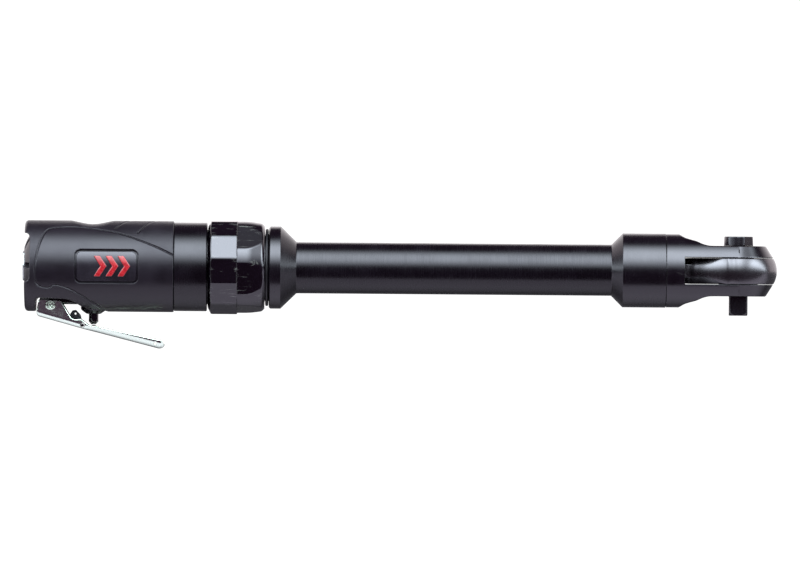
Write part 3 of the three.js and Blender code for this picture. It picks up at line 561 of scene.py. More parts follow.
BLACK = (0.0010, 0.0005, 0.0012)
finish = {
    "black_steel": coated_steel("black_steel", BLACK, 1.47, 0.26, lines=1.0),
    "bell_steel": coated_steel("bell_steel", BLACK, 1.58, 0.24, lines=0.7),
    "polished_black": coated_steel("polished_black", BLACK, 1.72, 0.085, lines=0.0, wear=0.5),
    "nut_black": coated_steel("nut_black", BLACK, 1.68, 0.10, lines=0.0, wear=0.9),
    "head_black": coated_steel("head_black", BLACK, 1.62, 0.20, lines=0.0, wear=0.35),
    "yoke_black": coated_steel("yoke_black", (0.0016, 0.0010, 0.0012), 1.95, 0.27, lines=0.0, wear=0.2),
    "collar_black": coated_steel("collar_black", BLACK, 1.49, 0.25, lines=0.5),
    "grip": moulded("grip", (0.0042, 0.0028, 0.0046), 1.47, 0.36, 1.0, "panel"),
    "black_plastic": moulded("black_plastic", (0.006, 0.0045, 0.006), 1.5, 0.42, 0.6),
    "black_rubber": moulded("black_rubber", (0.004, 0.0035, 0.004), 1.5, 0.5, 0.3),
    "bright_chrome": chrome_plate(),
    "tool_steel": bare_metal("tool_steel", (0.50, 0.50, 0.51), 0.30),
    "cast_alloy": bare_metal("cast_alloy", (0.60, 0.61, 0.62), 0.42, cast=1.0),
    "bronze": bare_metal("bronze", (0.48, 0.31, 0.14), 0.42, cast=0.6),
    "red_enamel": enamel(),
    "grey_felt": felt(),
    "vane_fibre": resin_fibre(),
}


# ---------------------------------------------------------------- grip

GRIP_R = 23.1
panel_top = [(-29.2, 2.1), (-27.4, 10.7), (-24.3, 17.2), (-20.6, 19.1), (-9.6, 19.7), (3.1, 18.4),
             (13.3, 16.6),
             (23.4, 13.3), (33.6, 9.2), (42.0, 5.0)]
panel_low = [(-29.4, -3.5), (-28.9, -8.4), (-26.6, -10.5), (-23.6, -11.2), (-21.6, -10.9), (-20.2, -9.8),
             (-17.4, -9.9), (-12.1, -11.6), (-4.5, -15.7), (2.1, -19.7), (6.5, -22.3)]


def wrapped(points):
    """Heights on the round grip as lengths round it."""
    return [(x, GRIP_R * math.asin(max(-1.0, min(1.0, z / GRIP_R)))) for x, z in points]


panel_line = curve(wrapped(panel_low[::-1] + panel_top), 3)
panel_zone = [*panel_line, (42.0, -37.0), (8.0, -37.0)]
top_lines = [[(10.9, 22.6), (16.3, 31.4), (18.6, 36.3)], [(22.6, 19.2), (28.9, 31.0), (31.5, 36.3)]]


def grip_body(x, y, z):
    r = hyp(y, z)
    d = both(both(r - GRIP_R, -35.0 - x, 2.0), x - 40.62, 0.5)
    d = cut(d, r - 19.8, 0.3)
    scoop = both(both(x + 32.3, z - 16.5, 2.2), -8.0 - z, 2.5)
    d = cut(d, scoop, 0.5)
    pocket = outline(x, z, eased([(-29.3, -29), (1.9, -29), (1.9, -23.2), (-6.1, -20.5), (-11.3, -17.3),
                                  (-16.3, -16.6), (-29.3, -16.2)], [0, 0, 1.5, 4, 5, 5, 1.5]))
    d = cut(d, pocket, 0.45)
    d = cut(d, both(hyp(x, y) - 7.0, z + 15.0), 0.4)
    dip = hyp(x + 0.7, z - (GRIP_R - 1.7 + 16.6)) - 16.6
    d = cut(d, dip, 2.2)
    plate = hyp(np.maximum(np.abs(x - 6.8) - 13.1, 0), np.maximum(np.abs(z + 0.2) - 5.5, 0)) - 3.0
    return cut(d, both(plate, 21.7 - r, 0.35), 0.3)


def grip_lines(x, y, z):
    r = hyp(y, z)
    round_it = GRIP_R * np.arctan2(z, np.abs(y))
    d = grip_body(x, y, z)
    near = line_distance(x, round_it, panel_line) - 0.48
    high = np.minimum(line_distance(x, round_it, top_lines[0]),
                      line_distance(x, round_it, top_lines[1])) - 0.65
    d = cut(d, both(high, GRIP_R - 1.3 - r, 0.3), 0.12)
    return cut(d, both(near, GRIP_R - 0.75 - r, 0.3), 0.2)


grip = carve("grip_shell", grip_body, ((-35, -GRIP_R, -GRIP_R), (40.62, GRIP_R, GRIP_R)), 0.45, HANDLE,
             [finish["grip"]], detail=grip_lines)
local = np.zeros(len(grip.data.vertices) * 3)
grip.data.vertices.foreach_get("co", local)
local = local.reshape(-1, 3) / MM - np.array([HANDLE, 0, AXIS_Z])
inside = outline(local[:, 0], GRIP_R * np.arctan2(local[:, 2], np.abs(local[:, 1])), panel_zone)
zone = grip.data.attributes.new("panel", "FLOAT", "POINT")
zone.data.foreach_set("value", np.clip(0.5 - inside, 0, 1))
# Where the grooves run, as a mask for the painted shade in them.
depth = GRIP_R - 0.12 - hyp(local[:, 1], local[:, 2])
arc = GRIP_R * np.arctan2(local[:, 2], np.abs(local[:, 1]))
close = np.minimum.reduce([line_distance(local[:, 0], arc, line) for line in (panel_line, *top_lines)])
groove_shade_mask = grip.data.attributes.new("groove_shade_mask", "FLOAT", "POINT")
groove_shade_mask.data.foreach_set("value", np.where(close < 1.0, np.clip(depth / 0.3, 0, 1), 0))


# ---------------------------------------------------------------- motor housing, deflector and inlet

def housing_body(x, y, z):
    r = hyp(y, z)
    d = both(r - 19.5, span(x, -27.3, 50.0), 0.4)
    d = join(d, both(r - 22.5, span(x, 40.7, 57.5), 0.55))
    d = join(d, both(r - 18.9, span(x, 50.0, 71.3), 0.4))
    lug = box3(x, y, z, -26.3, -17.3, -6.0, 6.0, -23.6, -14.0, 0.7)
    cone = both((hyp(x, y) - 3.4) * 0.59 - (z + 24.4) * 0.81, hyp(x, y) - 6.6, 0.8)
    boss = both(cone, span(z, -24.4, -12.0), 0.5)
    d = join(join(d, lug, 0.8), boss, 0.8)
    d = cut(d, both(r - 15.2, x + 18.7), 0.3)
    d = cut(d, both(r - 17.2, 9.5 - x), 0.3)
    d = cut(d, both(r - 8.9, span(x, -19.7, -9.4)), 0.2)
    d = cut(d, both(r - 4.0, span(x, -10.0, 0.0)))
    d = cut(d, both(hyp(x, y) - 4.2, span(z, -19.5, 21.0)), 0.2)
    d = cut(d, both(hyp(x, y) - 2.8, span(z, -26.0, -19.0)), 0.25)
    port = hyp(np.abs(y) - PORT_OFFSET, np.abs(z) - PORT_OFFSET) - 2.0
    d = cut(d, both(port, span(x, -19.7, 10.5)))
    ears = both(both(span(np.abs(y), 6.1, 9.8), span(x, -30.0, -9.0)), span(z, -27.0, -16.0))
    d = cut(d, ears, 0.2)
    return cut(d, both(hyp(x - LEVER_PIVOT[0], z - LEVER_PIVOT[1]) - 2.0, np.abs(y) - 9.0))


housing_x = np.concatenate([np.arange(-28.2, 10.4, 0.5), np.arange(10.6, 39.8, 1.6),
                            np.arange(40.0, 58.2, 0.3),
                            np.arange(58.4, 70.6, 1.2), np.arange(70.7, 72.4, 0.4)])
housing = carve("housing_shell", housing_body, ((-27.3, -22.5, -24.4), (71.3, 22.5, 22.5)), 0.5, HANDLE,
                [finish["collar_black"]], xs=housing_x)


def deflector_body(x, y, z):
    r = hyp(y, z)
    shell = outline(x, r, eased([(-35.6, 9.1), (-34.1, 13), (-32.0, 17), (-30.6, 19.2), (-29.4, 19.2),
                                 (-29.4, 16.6), (-31.4, 13), (-32.8, 9.1)],
                                [0.5, 6, 6, 1.0, 0.4, 0.4, 4, 0.4]))
    pitch = math.pi / 3
    angle = np.arctan2(z, y)
    off = (angle + pitch / 2) % pitch - pitch / 2
    slot = both(np.abs(r * np.sin(off)) - 1.4, span(r, 10.4, 16.0), 0.8)
    return cut(shell, slot, 0.25)


deflector = carve("deflector_dome", deflector_body, ((-35.6, -19.2, -19.2), (-29.4, 19.2, 19.2)), 0.32,
                  HANDLE,
                  [finish["black_plastic"]])


def inlet_body(x, y, z):
    r = hyp(y, z)
    hexagon = both(facets(y, z, 6, 8.7 * math.cos(math.pi / 6), 30, 0.3), span(x, -36.1, -30.0), 0.35)
    hexagon = both(hexagon, 0.5 * (-x - 36.1) + 0.866 * (r - 7.9), 0.2)
    d = join(hexagon, both(r - 8.6, span(x, -31.0, -9.7), 0.3))
    d = cut(d, both(r - 5.7, x + 18.9), 0.5)
    return cut(d, both(r - 4.0, span(x, -20.0, -5.0)))


def inlet_thread(x, y, z):
    r = hyp(y, z)
    turns = x / THREAD_PITCH + np.arctan2(z, y) / (2 * math.pi)
    ridge = np.abs((turns % 1) - 0.5) * 0.9 - 0.2
    inside = np.clip((r - 4.8) * 2, 0, 1) * np.clip((7.2 - r) * 2, 0,
                                                    1) * np.clip(-20.0 - x, 0, 1) * np.clip(x + 35.4, 0, 1)
    return inlet_body(x, y, z) - ridge * inside * 0.6


inlet = carve("inlet_hexagon", inlet_body, ((-36.1, -8.7, -8.7), (-9.7, 8.7, 8.7)), 0.3, HANDLE,
              [finish["tool_steel"]], detail=inlet_thread)


# ---------------------------------------------------------------- badges

def badge_body(x, y, z):
    r = hyp(y, z)
    plate = hyp(np.maximum(np.abs(x - 6.8) - 12.6, 0), np.maximum(np.abs(z + 0.2) - 5.0, 0)) - 2.5
    d = both(plate, span(r, 22.0, 22.35), 0.12)
    for start in (0.4, 6.4, 12.4):
        slope = np.abs(z) / 5.2 * 3.4
        lean = 5.2 / math.hypot(5.2, 3.4)
        bar = both(np.abs(x - (start + 1.5 + 3.4) + slope) * lean - 1.5 * lean, np.abs(z) - 5.2, 0.35)
        d = join(d, both(bar, span(r, 22.1, 22.9), 0.3), 0.12)
    return both(d, y)


badge_mark = finish["red_enamel"]
badge_plate = coated_steel("badge_plate", (0.010, 0.008, 0.011), 1.6, 0.2, lines=0.0)
badges = []
for side, name in ((1, "badge_front"), (-1, "badge_back")):
    piece = carve(name, badge_body, ((-8.4, -22.9, -8.0), (22.0, -18.0, 7.6)), 0.2, HANDLE,
                  [badge_plate, badge_mark], turn=np.diag([1.0, side, 1.0]))
    mesh = piece.data
    centres = np.zeros(len(mesh.polygons) * 3)
    mesh.polygons.foreach_get("center", centres)
    centres = centres.reshape(-1, 3) / MM - np.array([HANDLE, 0, AXIS_Z])
    raised = hyp(centres[:, 1], centres[:, 2]) > BADGE_MARK_R
    mesh.polygons.foreach_set("material_index", raised.astype(int).tolist())
    badges.append(piece)


# ---------------------------------------------------------------- lever, latch, pins and button

LEVER_BEND_X = -4.9
REAR_SLOPE = 0.2759
ARM_SLOPE = 0.2532


def under(x):
    """The height of the lever's underside, which bends at LEVER_BEND_X."""
    slope = np.where(x < LEVER_BEND_X, REAR_SLOPE, ARM_SLOPE)
    return -32.0 - slope * (x - LEVER_BEND_X)


lever_side = eased(
    [(-28.1, -28.6), (-4.9, -35.0), (33.8, -44.8), (35.9, -40.9), (36.3, -39.4), (35.1, -37.4), (0, -30.3),
     (-2.3, -29.9), (-6.2, -26.8), (-9.3, -26.9), (-11.1, -26.4), (-16.5, -17.5), (-27.7, -16.7),
     (-28.9, -22.8)],
    [0, 0, 0, 0.6, 0.8, 1.2, 4, 2, 1.5, 2, 2, 1.6, 1.4, 3])
lever_plan = eased([(-30, -20), (-30, 8), (-4, 8), (2, 5.5), (34.3, 5.5), (36.8, 3.4), (36.8, -20)],
                   [0, 0, 4, 4, 1.5, 1.0, 0])
lever_inner = eased([(-32, -20), (-32, 6.4), (-4.6, 6.4), (1.4, 3.9), (34.2, 3.9), (34.2, -20)],
                    [0, 0, 4, 4, 0.6, 0])
lever_hollow = [(-32, float(under(-32.0)) + 1.6), (-4.9, -30.4), (34.2, float(under(34.2)) + 1.6),
                (34.2, -8), (-32, -8)]


def lever_body(x, y, z):
    plan = outline(x, np.abs(y), lever_plan)
    below = (under(x) - z) * 0.965
    arm = np.clip((x + 4.0) / 7.0, 0, 1)
    bent = both(plan, below, 2.9) * (1 - arm) + both(plan, below, 4.3) * arm
    d = both(bent, outline(x, z, lever_side), 0.55)
    d = cut(d, both(outline(x, z, lever_hollow), outline(x, np.abs(y), lever_inner), 1.6), 0.35)
    pip = both(hyp(x, y) - 2.8, both((hyp(x, y) - 1.5) * 0.73 + (z + 30.0) * 0.68, z + 30.0, 0.3))
    d = join(d, both(pip, -32.0 - z), 0.4)
    d = cut(d, both(both(span(x, -15.0, -3.2), np.abs(y) - 3.4, 1.0), z + 20.0), 0.25)
    d = cut(d, hyp(x - LEVER_PIVOT[0], z - LEVER_PIVOT[1]) - 1.9, 0.15)
    d = cut(d, hyp(x - LATCH_PIVOT[0], z - LATCH_PIVOT[1]) - 1.1, 0.1)
    return cut(d, hyp(x - 31.5, z + 39.0) - 0.8, 0.15)


lever = carve("lever_channel", lever_body, ((-28.9, -8, -41.8), (36.6, 8, -16.7)), 0.3, HANDLE,
              [finish["bright_chrome"]])

latch_side = eased([(-10.6, -22.5), (-11.9, -24.3), (-11.6, -26.3), (-9.4, -29.0), (-6.8, -31.4),
                    (-4.0, -29.4),
                    (-6.1, -26.9), (-6.5, -24.9), (-8.9, -22.3)],
                   [0.5, 1.2, 1.2, 2, 0.8, 0.8, 1.2, 1.2, 0.5])


def latch_body(x, y, z):
    blade = both(outline(x, z, latch_side), np.abs(y) - 2.9, 0.4)
    hub = both(hyp(x - LATCH_PIVOT[0], z - LATCH_PIVOT[1]) - 1.7, np.abs(y) - 2.9, 0.25)
    d = join(blade, hub, 0.3)
    d = cut(d, hyp(x - LATCH_PIVOT[0], z - LATCH_PIVOT[1]) - 1.1, 0.1)
    return cut(d, hyp(x + 9.2, z + 24.2) - 0.55, 0.12)


latch = carve("latch_blade", latch_body, ((-11.9, -2.9, -31.9), (-3.8, 2.9, -21.7)), 0.18, HANDLE,
              [finish["black_plastic"]])

to_y = np.array([[1.0, 0, 0], [0, 0, 1.0], [0, 1.0, 0]])


def pin_along_y(name, profile, x, z, material, sides=64):
    """A turned pin across the handle, at x and z."""
    piece = turned(name, profile, 0.0, [material], sides, about="z", turn=to_y)
    shift = Matrix.Translation(Vector(((HANDLE + x) * MM, 0, z * MM)))
    piece.data.transform(shift)
    return piece


pin_profile = [(-8.7, 0, 0), (-8.7, 0.5, 0.1), (-9.35, 0.75, 0.15), (-9.35, 1.05, 0.2), (-8.85, 1.35, 0.15),
               (-8.85, 1.6, 0.15), (-9.45, 1.95, 0.2), (-9.45, 2.2, 0.2), (-8.95, 2.6, 0.15),
               (-8.4, 2.6, 0.1), (-8.4, 1.6, 0.1), (8.4, 1.6, 0.1),
               (8.4, 2.3, 0.1), (8.8, 2.3, 0.25), (9.2, 1.5, 0.3), (9.2, 0, 0)]
lever_pin = pin_along_y("lever_rivet", pin_profile, *LEVER_PIVOT, finish["bright_chrome"])
latch_pin = pin_along_y("latch_rivet", [(-8.2, 0, 0), (-8.2, 0.8, 0.25), (8.2, 0.8, 0.25), (8.2, 0, 0)],
                        *LATCH_PIVOT,
                        finish["polished_black"], 40)
button = turned("button_stem", [(-29.6, 0, 0), (-29.6, 1.1, 0.5), (-28.1, 2.5, 0.6), (-19.2, 2.5, 0.2),
                                (-19.2, 3.8, 0.2), (-17.9, 3.8, 0.2), (-17.9, 1.3, 0.1), (-9.4, 1.3, 0.1),
                                (-9.4, 0, 0)],
                HANDLE, [finish["polished_black"]], 96, about="z")


# ---------------------------------------------------------------- clamp nut and extension tube

def nut_body(x, y, z):
    r = hyp(y, z)
    rear = both(facets(y, z, 12, 24.4 * math.cos(math.pi / 12), 26, 0.3), r - 24.25, 0.2)
    rear = both(rear, -0.894 * (x + 29.1) + 0.447 * (r - 24.4), 0.3)
    rear = both(rear, span(x, -31.0, -16.0), 0.35)
    band = both(r - 23.4, (r - 23.4) * 0.987 + (x + 10.1) * 0.16, 0.4)
    band = both(band, (r - 22.3) * 0.707 + (x + 3.5) * 0.707, 0.3)
    band = both(band, facets(y, z, 6, 21.9, -16, 0.2), 0.22)
    band = both(band, span(x, -17.0, -2.1), 0.2)
    d = join(rear, band, 0.15)
    d = cut(d, both(r - 19.2, x + 7.7), 0.3)
    return cut(d, r - 17.3, 0.2)


nut = carve("nut_body", nut_body, ((-31, -24.4, -24.4), (-2.1, 24.4, 24.4)), 0.4, NECK,
            [finish["nut_black"]])
ring = turned("neck_o_ring", [(-1.8, 17.4, 0.3), (-1.8, 19.6, 0.7), (-0.3, 19.6, 0.7), (-0.3, 17.4, 0.3)],
              NECK,
              [finish["black_rubber"]], 160)
tube = turned("neck_tube", [(-12.0, 10.5, 0.3), (-12.0, 16.4, 0.2), (-11.4, 17.0, 0.2), (-10.1, 17.0, 0.2),
                            (-10.1, 15.8, 0.2), (-7.7, 15.8, 0.2), (-7.7, 17.0, 0.2), (0, 17.0, 0.3),
                            (0, 20.2, 0.2), (0.7, 20.9, 0.25), (5.9, 20.9, 0.35), (14.0, 13.0, 0.9),
                            (173.8, 13.0, 0.8), (179.6, 18.8, 0.4), (201.52, 18.8, 0.25),
                            (201.52, 15.8, 0.3),
                            (181.0, 15.8, 0.3), (181.0, 10.5, 0.3)], NECK,
              [finish["black_steel"], finish["bell_steel"]], 256)
middles = np.zeros(len(tube.data.polygons) * 3)
tube.data.polygons.foreach_get("center", middles)
stations = middles.reshape(-1, 3)[:, 0] / MM - NECK
on_ends = (stations > 173.9) | (stations < 5.9)
tube.data.polygons.foreach_set("material_index", on_ends.astype(int).tolist())


# ---------------------------------------------------------------- head, yoke, anvil and knob

jaw_top = curve([(-30.3, 18.8), (-27.5, 17.0), (-24.5, 16.0), (-21.4, 15.1), (-18.4, 13.75), (-15.3, 12.95),
                 (-12.4, 12.8)], 3)
jaw_side = [(-60.0, 18.8), *jaw_top, (20.0, 12.8), (20.0, -5.0), (-60.0, -5.0)]


def head_body(x, y, z):
    r = hyp(y, z)
    out = hyp(x, y)
    high = np.abs(z)
    bar = both(r - 18.8, span(x, -36.8, 0.01))
    lean = math.atan2(17.7 - 13.9, 12.8 - 6.75)
    front = both(out - 17.7, (out - 17.7) * math.cos(lean) + (high - 6.75) * math.sin(lean), 0.4)
    d = both(join(bar, front), outline(x, high, jaw_side), 0.5)
    d = both(d, -36.8 - x, 0.3)
    d = join(d, both(r - 15.5, span(x, -56.8, -36.0), 0.3))
    d = cut(d, both(-27.5 - x, high - 6.75, 0.4), 0.2)
    d = cut(d, both(r - 13.6, span(x, -38.2, -26.5)), 0.2)
    d = cut(d, both(r - 9.8, x + 38.0), 0.2)
    d = cut(d, both(out - 8.3, -z), 0.25)
    d = cut(d, both(out - 10.3, z), 0.3)
    return cut(d, both(out - 11.3, span(z, -12.2, -10.6)), 0.1)


head_x = np.concatenate([np.arange(-57.6, -38.6, 1.2), np.arange(-38.4, 18.8, 0.36)])
head = carve("head_forging", head_body, ((-56.8, -18.8, -18.8), (17.7, 18.8, 18.8)), 0.36, HEAD,
             [finish["head_black"]], xs=head_x)


def yoke_body(x, y, z):
    out = hyp(x, y)
    ring = hyp(np.maximum(out - 6.7, 0), z) - YOKE_CROWN_R
    plan = outline(x, np.abs(y), [(-6, -30), (-6, 16.9), (-7.5, 16.4), (-25, 10.4), (-29.2, 9.5),
                                  (-29.2, -30)])
    arm = hyp(np.maximum(plan + YOKE_CROWN_R, 0), z) - YOKE_CROWN_R
    d = both(join(ring, arm, 5.0), np.abs(z) - 6.6, 0.5)
    fork = both(both(span(x, -33.2, -23.0), np.abs(y) - 10.2, 0.6), np.abs(z) - 3.6, 0.5)
    d = join(d, fork, 0.4)
    tooth = np.abs(np.arctan2(y, x) / (2 * math.pi) * 28 % 1 - 0.5) * 2
    d = cut(d, (out - 11.8 - 0.9 * tooth) * 0.83, 0.15)
    return cut(d, both(x + 21.5, np.abs(y) - 7.8, 0.8), 0.3)


yoke = carve("yoke_forging", yoke_body, ((-33.2, -19.6, -6.6), (19.6, 19.6, 6.6)), 0.36, HEAD,
             [finish["yoke_black"]])


def anvil_body(x, y, z):
    out = hyp(x, y)
    d = both(out - 10.0, span(z, -10.6, 5.6), 0.3)
    d = join(d, both(out - 8.0, span(z, 4.0, 12.7), 0.35))
    flat = np.maximum(np.abs(x), np.abs(y)) - 4.7625
    corner = (np.abs(x) + np.abs(y) - (2 * 4.7625 - 0.9)) * 0.7071
    square = both(flat, corner, 0.25)
    tip = both(square, (out - 6.3) * 0.707 - (z + 21.2) * 0.707, 0.3)
    d = join(d, both(tip, span(z, -22.6, -9.6), 0.25), 0.3)
    d = cut(d, both(both(span(y, 4.2, 12.0), np.abs(x) - 12.0), np.abs(z) - 4.6), 0.2)
    d = cut(d, both(hyp(x, y - 7.4) - 1.5, span(z, -8.8, 6.0)), 0.1)
    d = cut(d, both(out - 3.3, span(z, -3.2, 14.0)), 0.2)
    d = cut(d, both(both(span(y, 0.0, 5.0), np.abs(x) - 5.0), np.abs(z) - 2.4), 0.1)
    return cut(d, both(hyp(x, z + 18.0) - 1.8, span(y, 1.6, 6.0)), 0.2)


anvil = carve("anvil_drive", anvil_body, ((-10, -10, -22.6), (10, 10, 12.7)), 0.3, HEAD,
              [finish["head_black"]])


def knob_body(x, y, z):
    out = hyp(x, y)
    disc = both(out - (7.5 - 0.05 * (z - 13.1)), span(z, 12.9, 17.6), 0.35)
    a = math.radians(-40)
    disc = both(disc, x * math.cos(a) + y * math.sin(a) - 6.4, 0.35)
    d = join(disc, both(out - 3.0, span(z, -2.9, 14.0), 0.25), 0.3)
    pointer = hyp(x * math.cos(a) + y * math.sin(a) - 3.9, y * math.cos(a) - x * math.sin(a)) - 0.8
    d = cut(d, both(pointer, 17.15 - z), 0.15)
    hole = math.radians(30)
    along = y * math.cos(hole) - x * math.sin(hole)
    across = x * math.cos(hole) + y * math.sin(hole)
    return cut(d, both(hyp(across, z) - 1.4, span(along, -2.6, 4.0)), 0.1)


knob = carve("selector_disc", knob_body, ((-7.5, -7.5, -2.9), (7.5, 7.5, 17.6)), 0.25, HEAD,
             [finish["head_black"]])
ball_points = [(-1.5 * math.cos(math.pi * i / 16), 1.5 * math.sin(math.pi * i / 16), 0) for i in range(17)]
ball_points = [(a, max(r, 0.0) if 0 < i < 16 else 0.0, k) for i, (a, r, k) in enumerate(ball_points)]
ball = turned("drive_ball_bead", ball_points, 0.0, [finish["bright_chrome"]], 48, about="z")
ball.data.transform(Matrix.Translation(Vector((0, 3.6 * MM, -18.0 * MM))))


# ---------------------------------------------------------------- what replaces what

stand_ins = [
    (grip, "grip_sleeve", "grip"),
    (housing, "motor_housing", "black_steel"),
    (deflector, "exhaust_deflector", "black_plastic"),
    (inlet, "inlet_bushing", "tool_steel"),
    (badges[0], "badge_right", "red_enamel"),
    (badges[1], "badge_left", "red_enamel"),
    (lever, "throttle_lever", "bright_chrome"),
    (latch, "lever_latch", "black_plastic"),
    (lever_pin, "lever_pin", "bright_chrome"),
    (latch_pin, "latch_pin", "tool_steel"),
    (button, "throttle_button", "polished_black"),
    (nut, "clamp_nut", "polished_black"),
    (ring, "nut_o_ring", "black_rubber"),
    (tube, "extension_tube", "black_steel"),
    (head, "ratchet_head", "polished_black"),
    (yoke, "yoke", "polished_black"),
    (anvil, "anvil", "polished_black"),
    (knob, "selector_knob", "polished_black"),
    (ball, "socket_ball", "bright_chrome"),
]
record = frame["record"]
body_of = {n: body for body, names in record["behaviour"]["bodies"].items() for n in names}
for piece, name, slot in stand_ins:
    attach(piece, body_of[name])
    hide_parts(name)

replaced = {name for _, name, _ in stand_ins}
slot_of = {s["node"]: s["material_slot"] for s in record["subparts"]}
for name, thing in frame["nodes"].items():
    if name not in replaced:
        thing.data.materials.clear()
        thing.data.materials.append(finish[slot_of[name]])


# ---------------------------------------------------------------- studio

floor_mesh = bpy.data.meshes.new("floor")
FLOOR_REACH = 8
floor_z = AXIS_Z * MM - 0.15
edge = -0.15
corners = [(-FLOOR_REACH, edge), (FLOOR_REACH, edge), (FLOOR_REACH, FLOOR_REACH),
           (-FLOOR_REACH, FLOOR_REACH)]
floor_mesh.from_pydata([(x, y, floor_z) for x, y in corners], [], [(0, 1, 2, 3)])
floor = bpy.data.objects.new("floor", floor_mesh)
bpy.context.scene.collection.objects.link(floor)
paper = Paint("floor_paper", Base_Color=(0.5, 0.4, 0.5), Roughness=0.9, Emission_Color=(1.0, 1.0, 1.0))
grain = paper.ramp(paper.noise(12, 3.0, 0.5), 0.3, 0.7)
near_paper = paper.blend(grain, (0.475, 0.415, 0.455), (0.495, 0.43, 0.475))
away = paper.tree.nodes.new("ShaderNodeSeparateXYZ")
paper.link(paper.coords, away.inputs[0])
paper.colour(paper.blend(paper.ramp(away.outputs["Y"], -0.02, 0.12), near_paper, (0.05, 0.04, 0.045)))
path = paper.tree.nodes.new("ShaderNodeLightPath")
paper.link(paper.maths("MULTIPLY", path.outputs["Is Camera Ray"], 0.95),
           paper.shader.inputs["Emission Strength"])
from_below = paper.tree.nodes.new("ShaderNodeMixShader")
paper.link(paper.tree.nodes.new("ShaderNodeNewGeometry").outputs["Backfacing"], from_below.inputs[0])
paper.link(paper.shader.outputs[0], from_below.inputs[1])
paper.link(paper.tree.nodes.new("ShaderNodeBsdfTransparent").outputs[0], from_below.inputs[2])
surface = next(n for n in paper.tree.nodes if n.type == "OUTPUT_MATERIAL")
paper.link(from_below.outputs[0], surface.inputs["Surface"])
floor_mesh.materials.append(paper.material)


class Sky:
    """The studio as a world shader: white to the camera, a soft light and a dark room to everything else."""

    def __init__(self):
        world = bpy.data.worlds.new("studio")
        bpy.context.scene.world = world
        world.use_nodes = True
        self.tree = world.node_tree
        self.tree.nodes.clear()
        split = self.tree.nodes.new("ShaderNodeSeparateXYZ")
        self.tree.links.new(self.tree.nodes.new("ShaderNodeTexCoord").outputs["Generated"], split.inputs[0])
        self.x, self.y, self.z = split.outputs

    def maths(self, operation, a, b=0.0):
        n = self.tree.nodes.new("ShaderNodeMath")
        n.operation = operation
        for socket, value in zip(n.inputs, (a, b)):
            if isinstance(value, (int, float)):
                socket.default_value = value
            else:
                self.tree.links.new(value, socket)
        return n.outputs["Value"]

    def ramp(self, value, low, high, a, b):
        n = self.tree.nodes.new("ShaderNodeMapRange")
        n.interpolation_type = "SMOOTHSTEP"
        for key, number in (("From Min", low), ("From Max", high), ("To Min", a), ("To Max", b)):
            n.inputs[key].default_value = number
        self.tree.links.new(value, n.inputs["Value"])
        return n.outputs["Result"]

    def light(self, colour, strength):
        n = self.tree.nodes.new("ShaderNodeBackground")
        n.inputs["Color"].default_value = (*colour, 1)
        if isinstance(strength, (int, float)):
            n.inputs["Strength"].default_value = strength
        else:
            self.tree.links.new(strength, n.inputs["Strength"])
        return n.outputs[0]

    def add(self, a, b):
        n = self.tree.nodes.new("ShaderNodeAddShader")
        self.tree.links.new(a, n.inputs[0])
        self.tree.links.new(b, n.inputs[1])
        return n.outputs[0]


LIGHT_HEIGHT = math.radians(48)
LIGHT_STRENGTH = 10.3
GLOW_STRENGTH = 1.5
ROOM_STRENGTH = 0.065
BACKDROP_STRENGTH = 1.1
sky = Sky()
rest_of_x = sky.maths("SUBTRACT", 1.0, sky.maths("MULTIPLY", sky.x, sky.x))
across = sky.maths("SQRT", sky.maths("MAXIMUM", rest_of_x, 0.003))
lift = sky.maths("MULTIPLY", sky.z, math.sin(LIGHT_HEIGHT))
reach = sky.maths("MULTIPLY", sky.y, -math.cos(LIGHT_HEIGHT))
off = sky.maths("ARCCOSINE", sky.maths("DIVIDE", sky.maths("ADD", lift, reach), across))
lobe = sky.ramp(off, math.radians(4), math.radians(45), 1.0, 0.0)
aside = sky.maths("ABSOLUTE", sky.x)
dim = sky.maths("MULTIPLY", sky.ramp(aside, 0.08, 0.24, 0.0, 0.65), sky.ramp(aside, 0.42, 0.6, 1.0, 0.0))
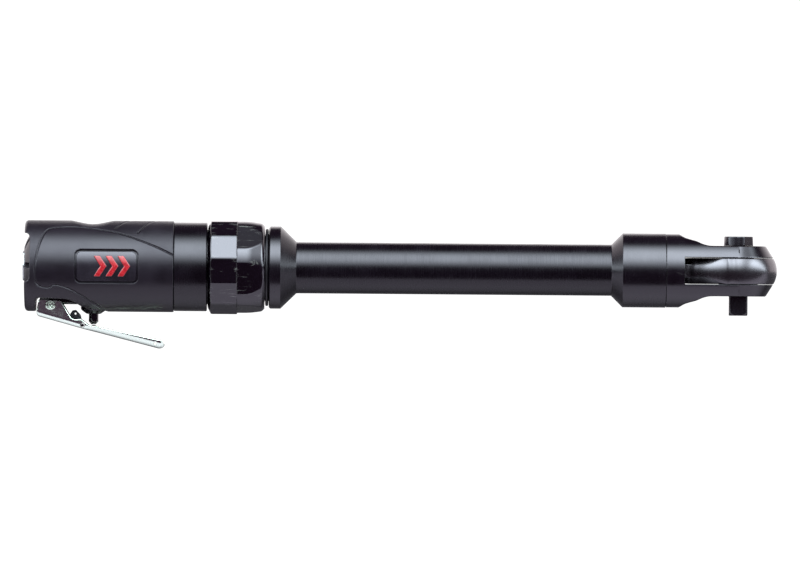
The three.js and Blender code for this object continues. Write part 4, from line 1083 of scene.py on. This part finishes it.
side = sky.maths("MULTIPLY", sky.ramp(aside, 0.7, 1.0, 1.0, 0.8), sky.maths("SUBTRACT", 1.0, dim))
soft_light = sky.light((0.80, 0.97, 1.0), sky.maths("MULTIPLY", sky.maths("MULTIPLY", lobe, side),
                                                    LIGHT_STRENGTH))
behind = sky.ramp(sky.y, 0.05, 0.45, 0.0, 1.0)
low = sky.ramp(sky.z, 0.42, 0.72, 1.0, 0.0)
above = sky.ramp(sky.z, -0.1, 0.0, 0.0, 1.0)
glow_shape = sky.maths("MULTIPLY", sky.maths("MULTIPLY", behind, low), above)
glow = sky.light((1.0, 0.97, 0.97), sky.maths("MULTIPLY", glow_shape, GLOW_STRENGTH))
room = sky.light((1.0, 0.6, 1.0), ROOM_STRENGTH)
mix = sky.tree.nodes.new("ShaderNodeMixShader")
sky.tree.links.new(sky.tree.nodes.new("ShaderNodeLightPath").outputs["Is Camera Ray"], mix.inputs[0])
sky.tree.links.new(sky.add(sky.add(soft_light, glow), room), mix.inputs[1])
sky.tree.links.new(sky.light((1.0, 1.0, 1.0), BACKDROP_STRENGTH), mix.inputs[2])
output = sky.tree.nodes.new("ShaderNodeOutputWorld")
sky.tree.links.new(mix.outputs[0], output.inputs["Surface"])


# ---------------------------------------------------------------- camera

VIEW_WIDTH = 0.4064
DISTANCE = 6.0
VIEW_CENTRE = (-0.1718, 0.0145)
ROLL = math.radians(0.46)
SENSOR_WIDTH = 36
camera_data = bpy.data.cameras.new("camera")
camera_data.sensor_width = SENSOR_WIDTH
camera_data.lens = SENSOR_WIDTH * DISTANCE / VIEW_WIDTH
camera = bpy.data.objects.new("camera", camera_data)
camera.location = (VIEW_CENTRE[0], -DISTANCE, VIEW_CENTRE[1])
camera.rotation_mode = "QUATERNION"
level = Matrix.Rotation(math.radians(90), 3, "X")
roll = Matrix.Rotation(ROLL, 3, "Z")
camera.rotation_quaternion = (level @ roll).to_quaternion()
bpy.context.scene.collection.objects.link(camera)
bpy.context.scene.camera = camera
bpy.context.scene.view_settings.view_transform = "Standard"
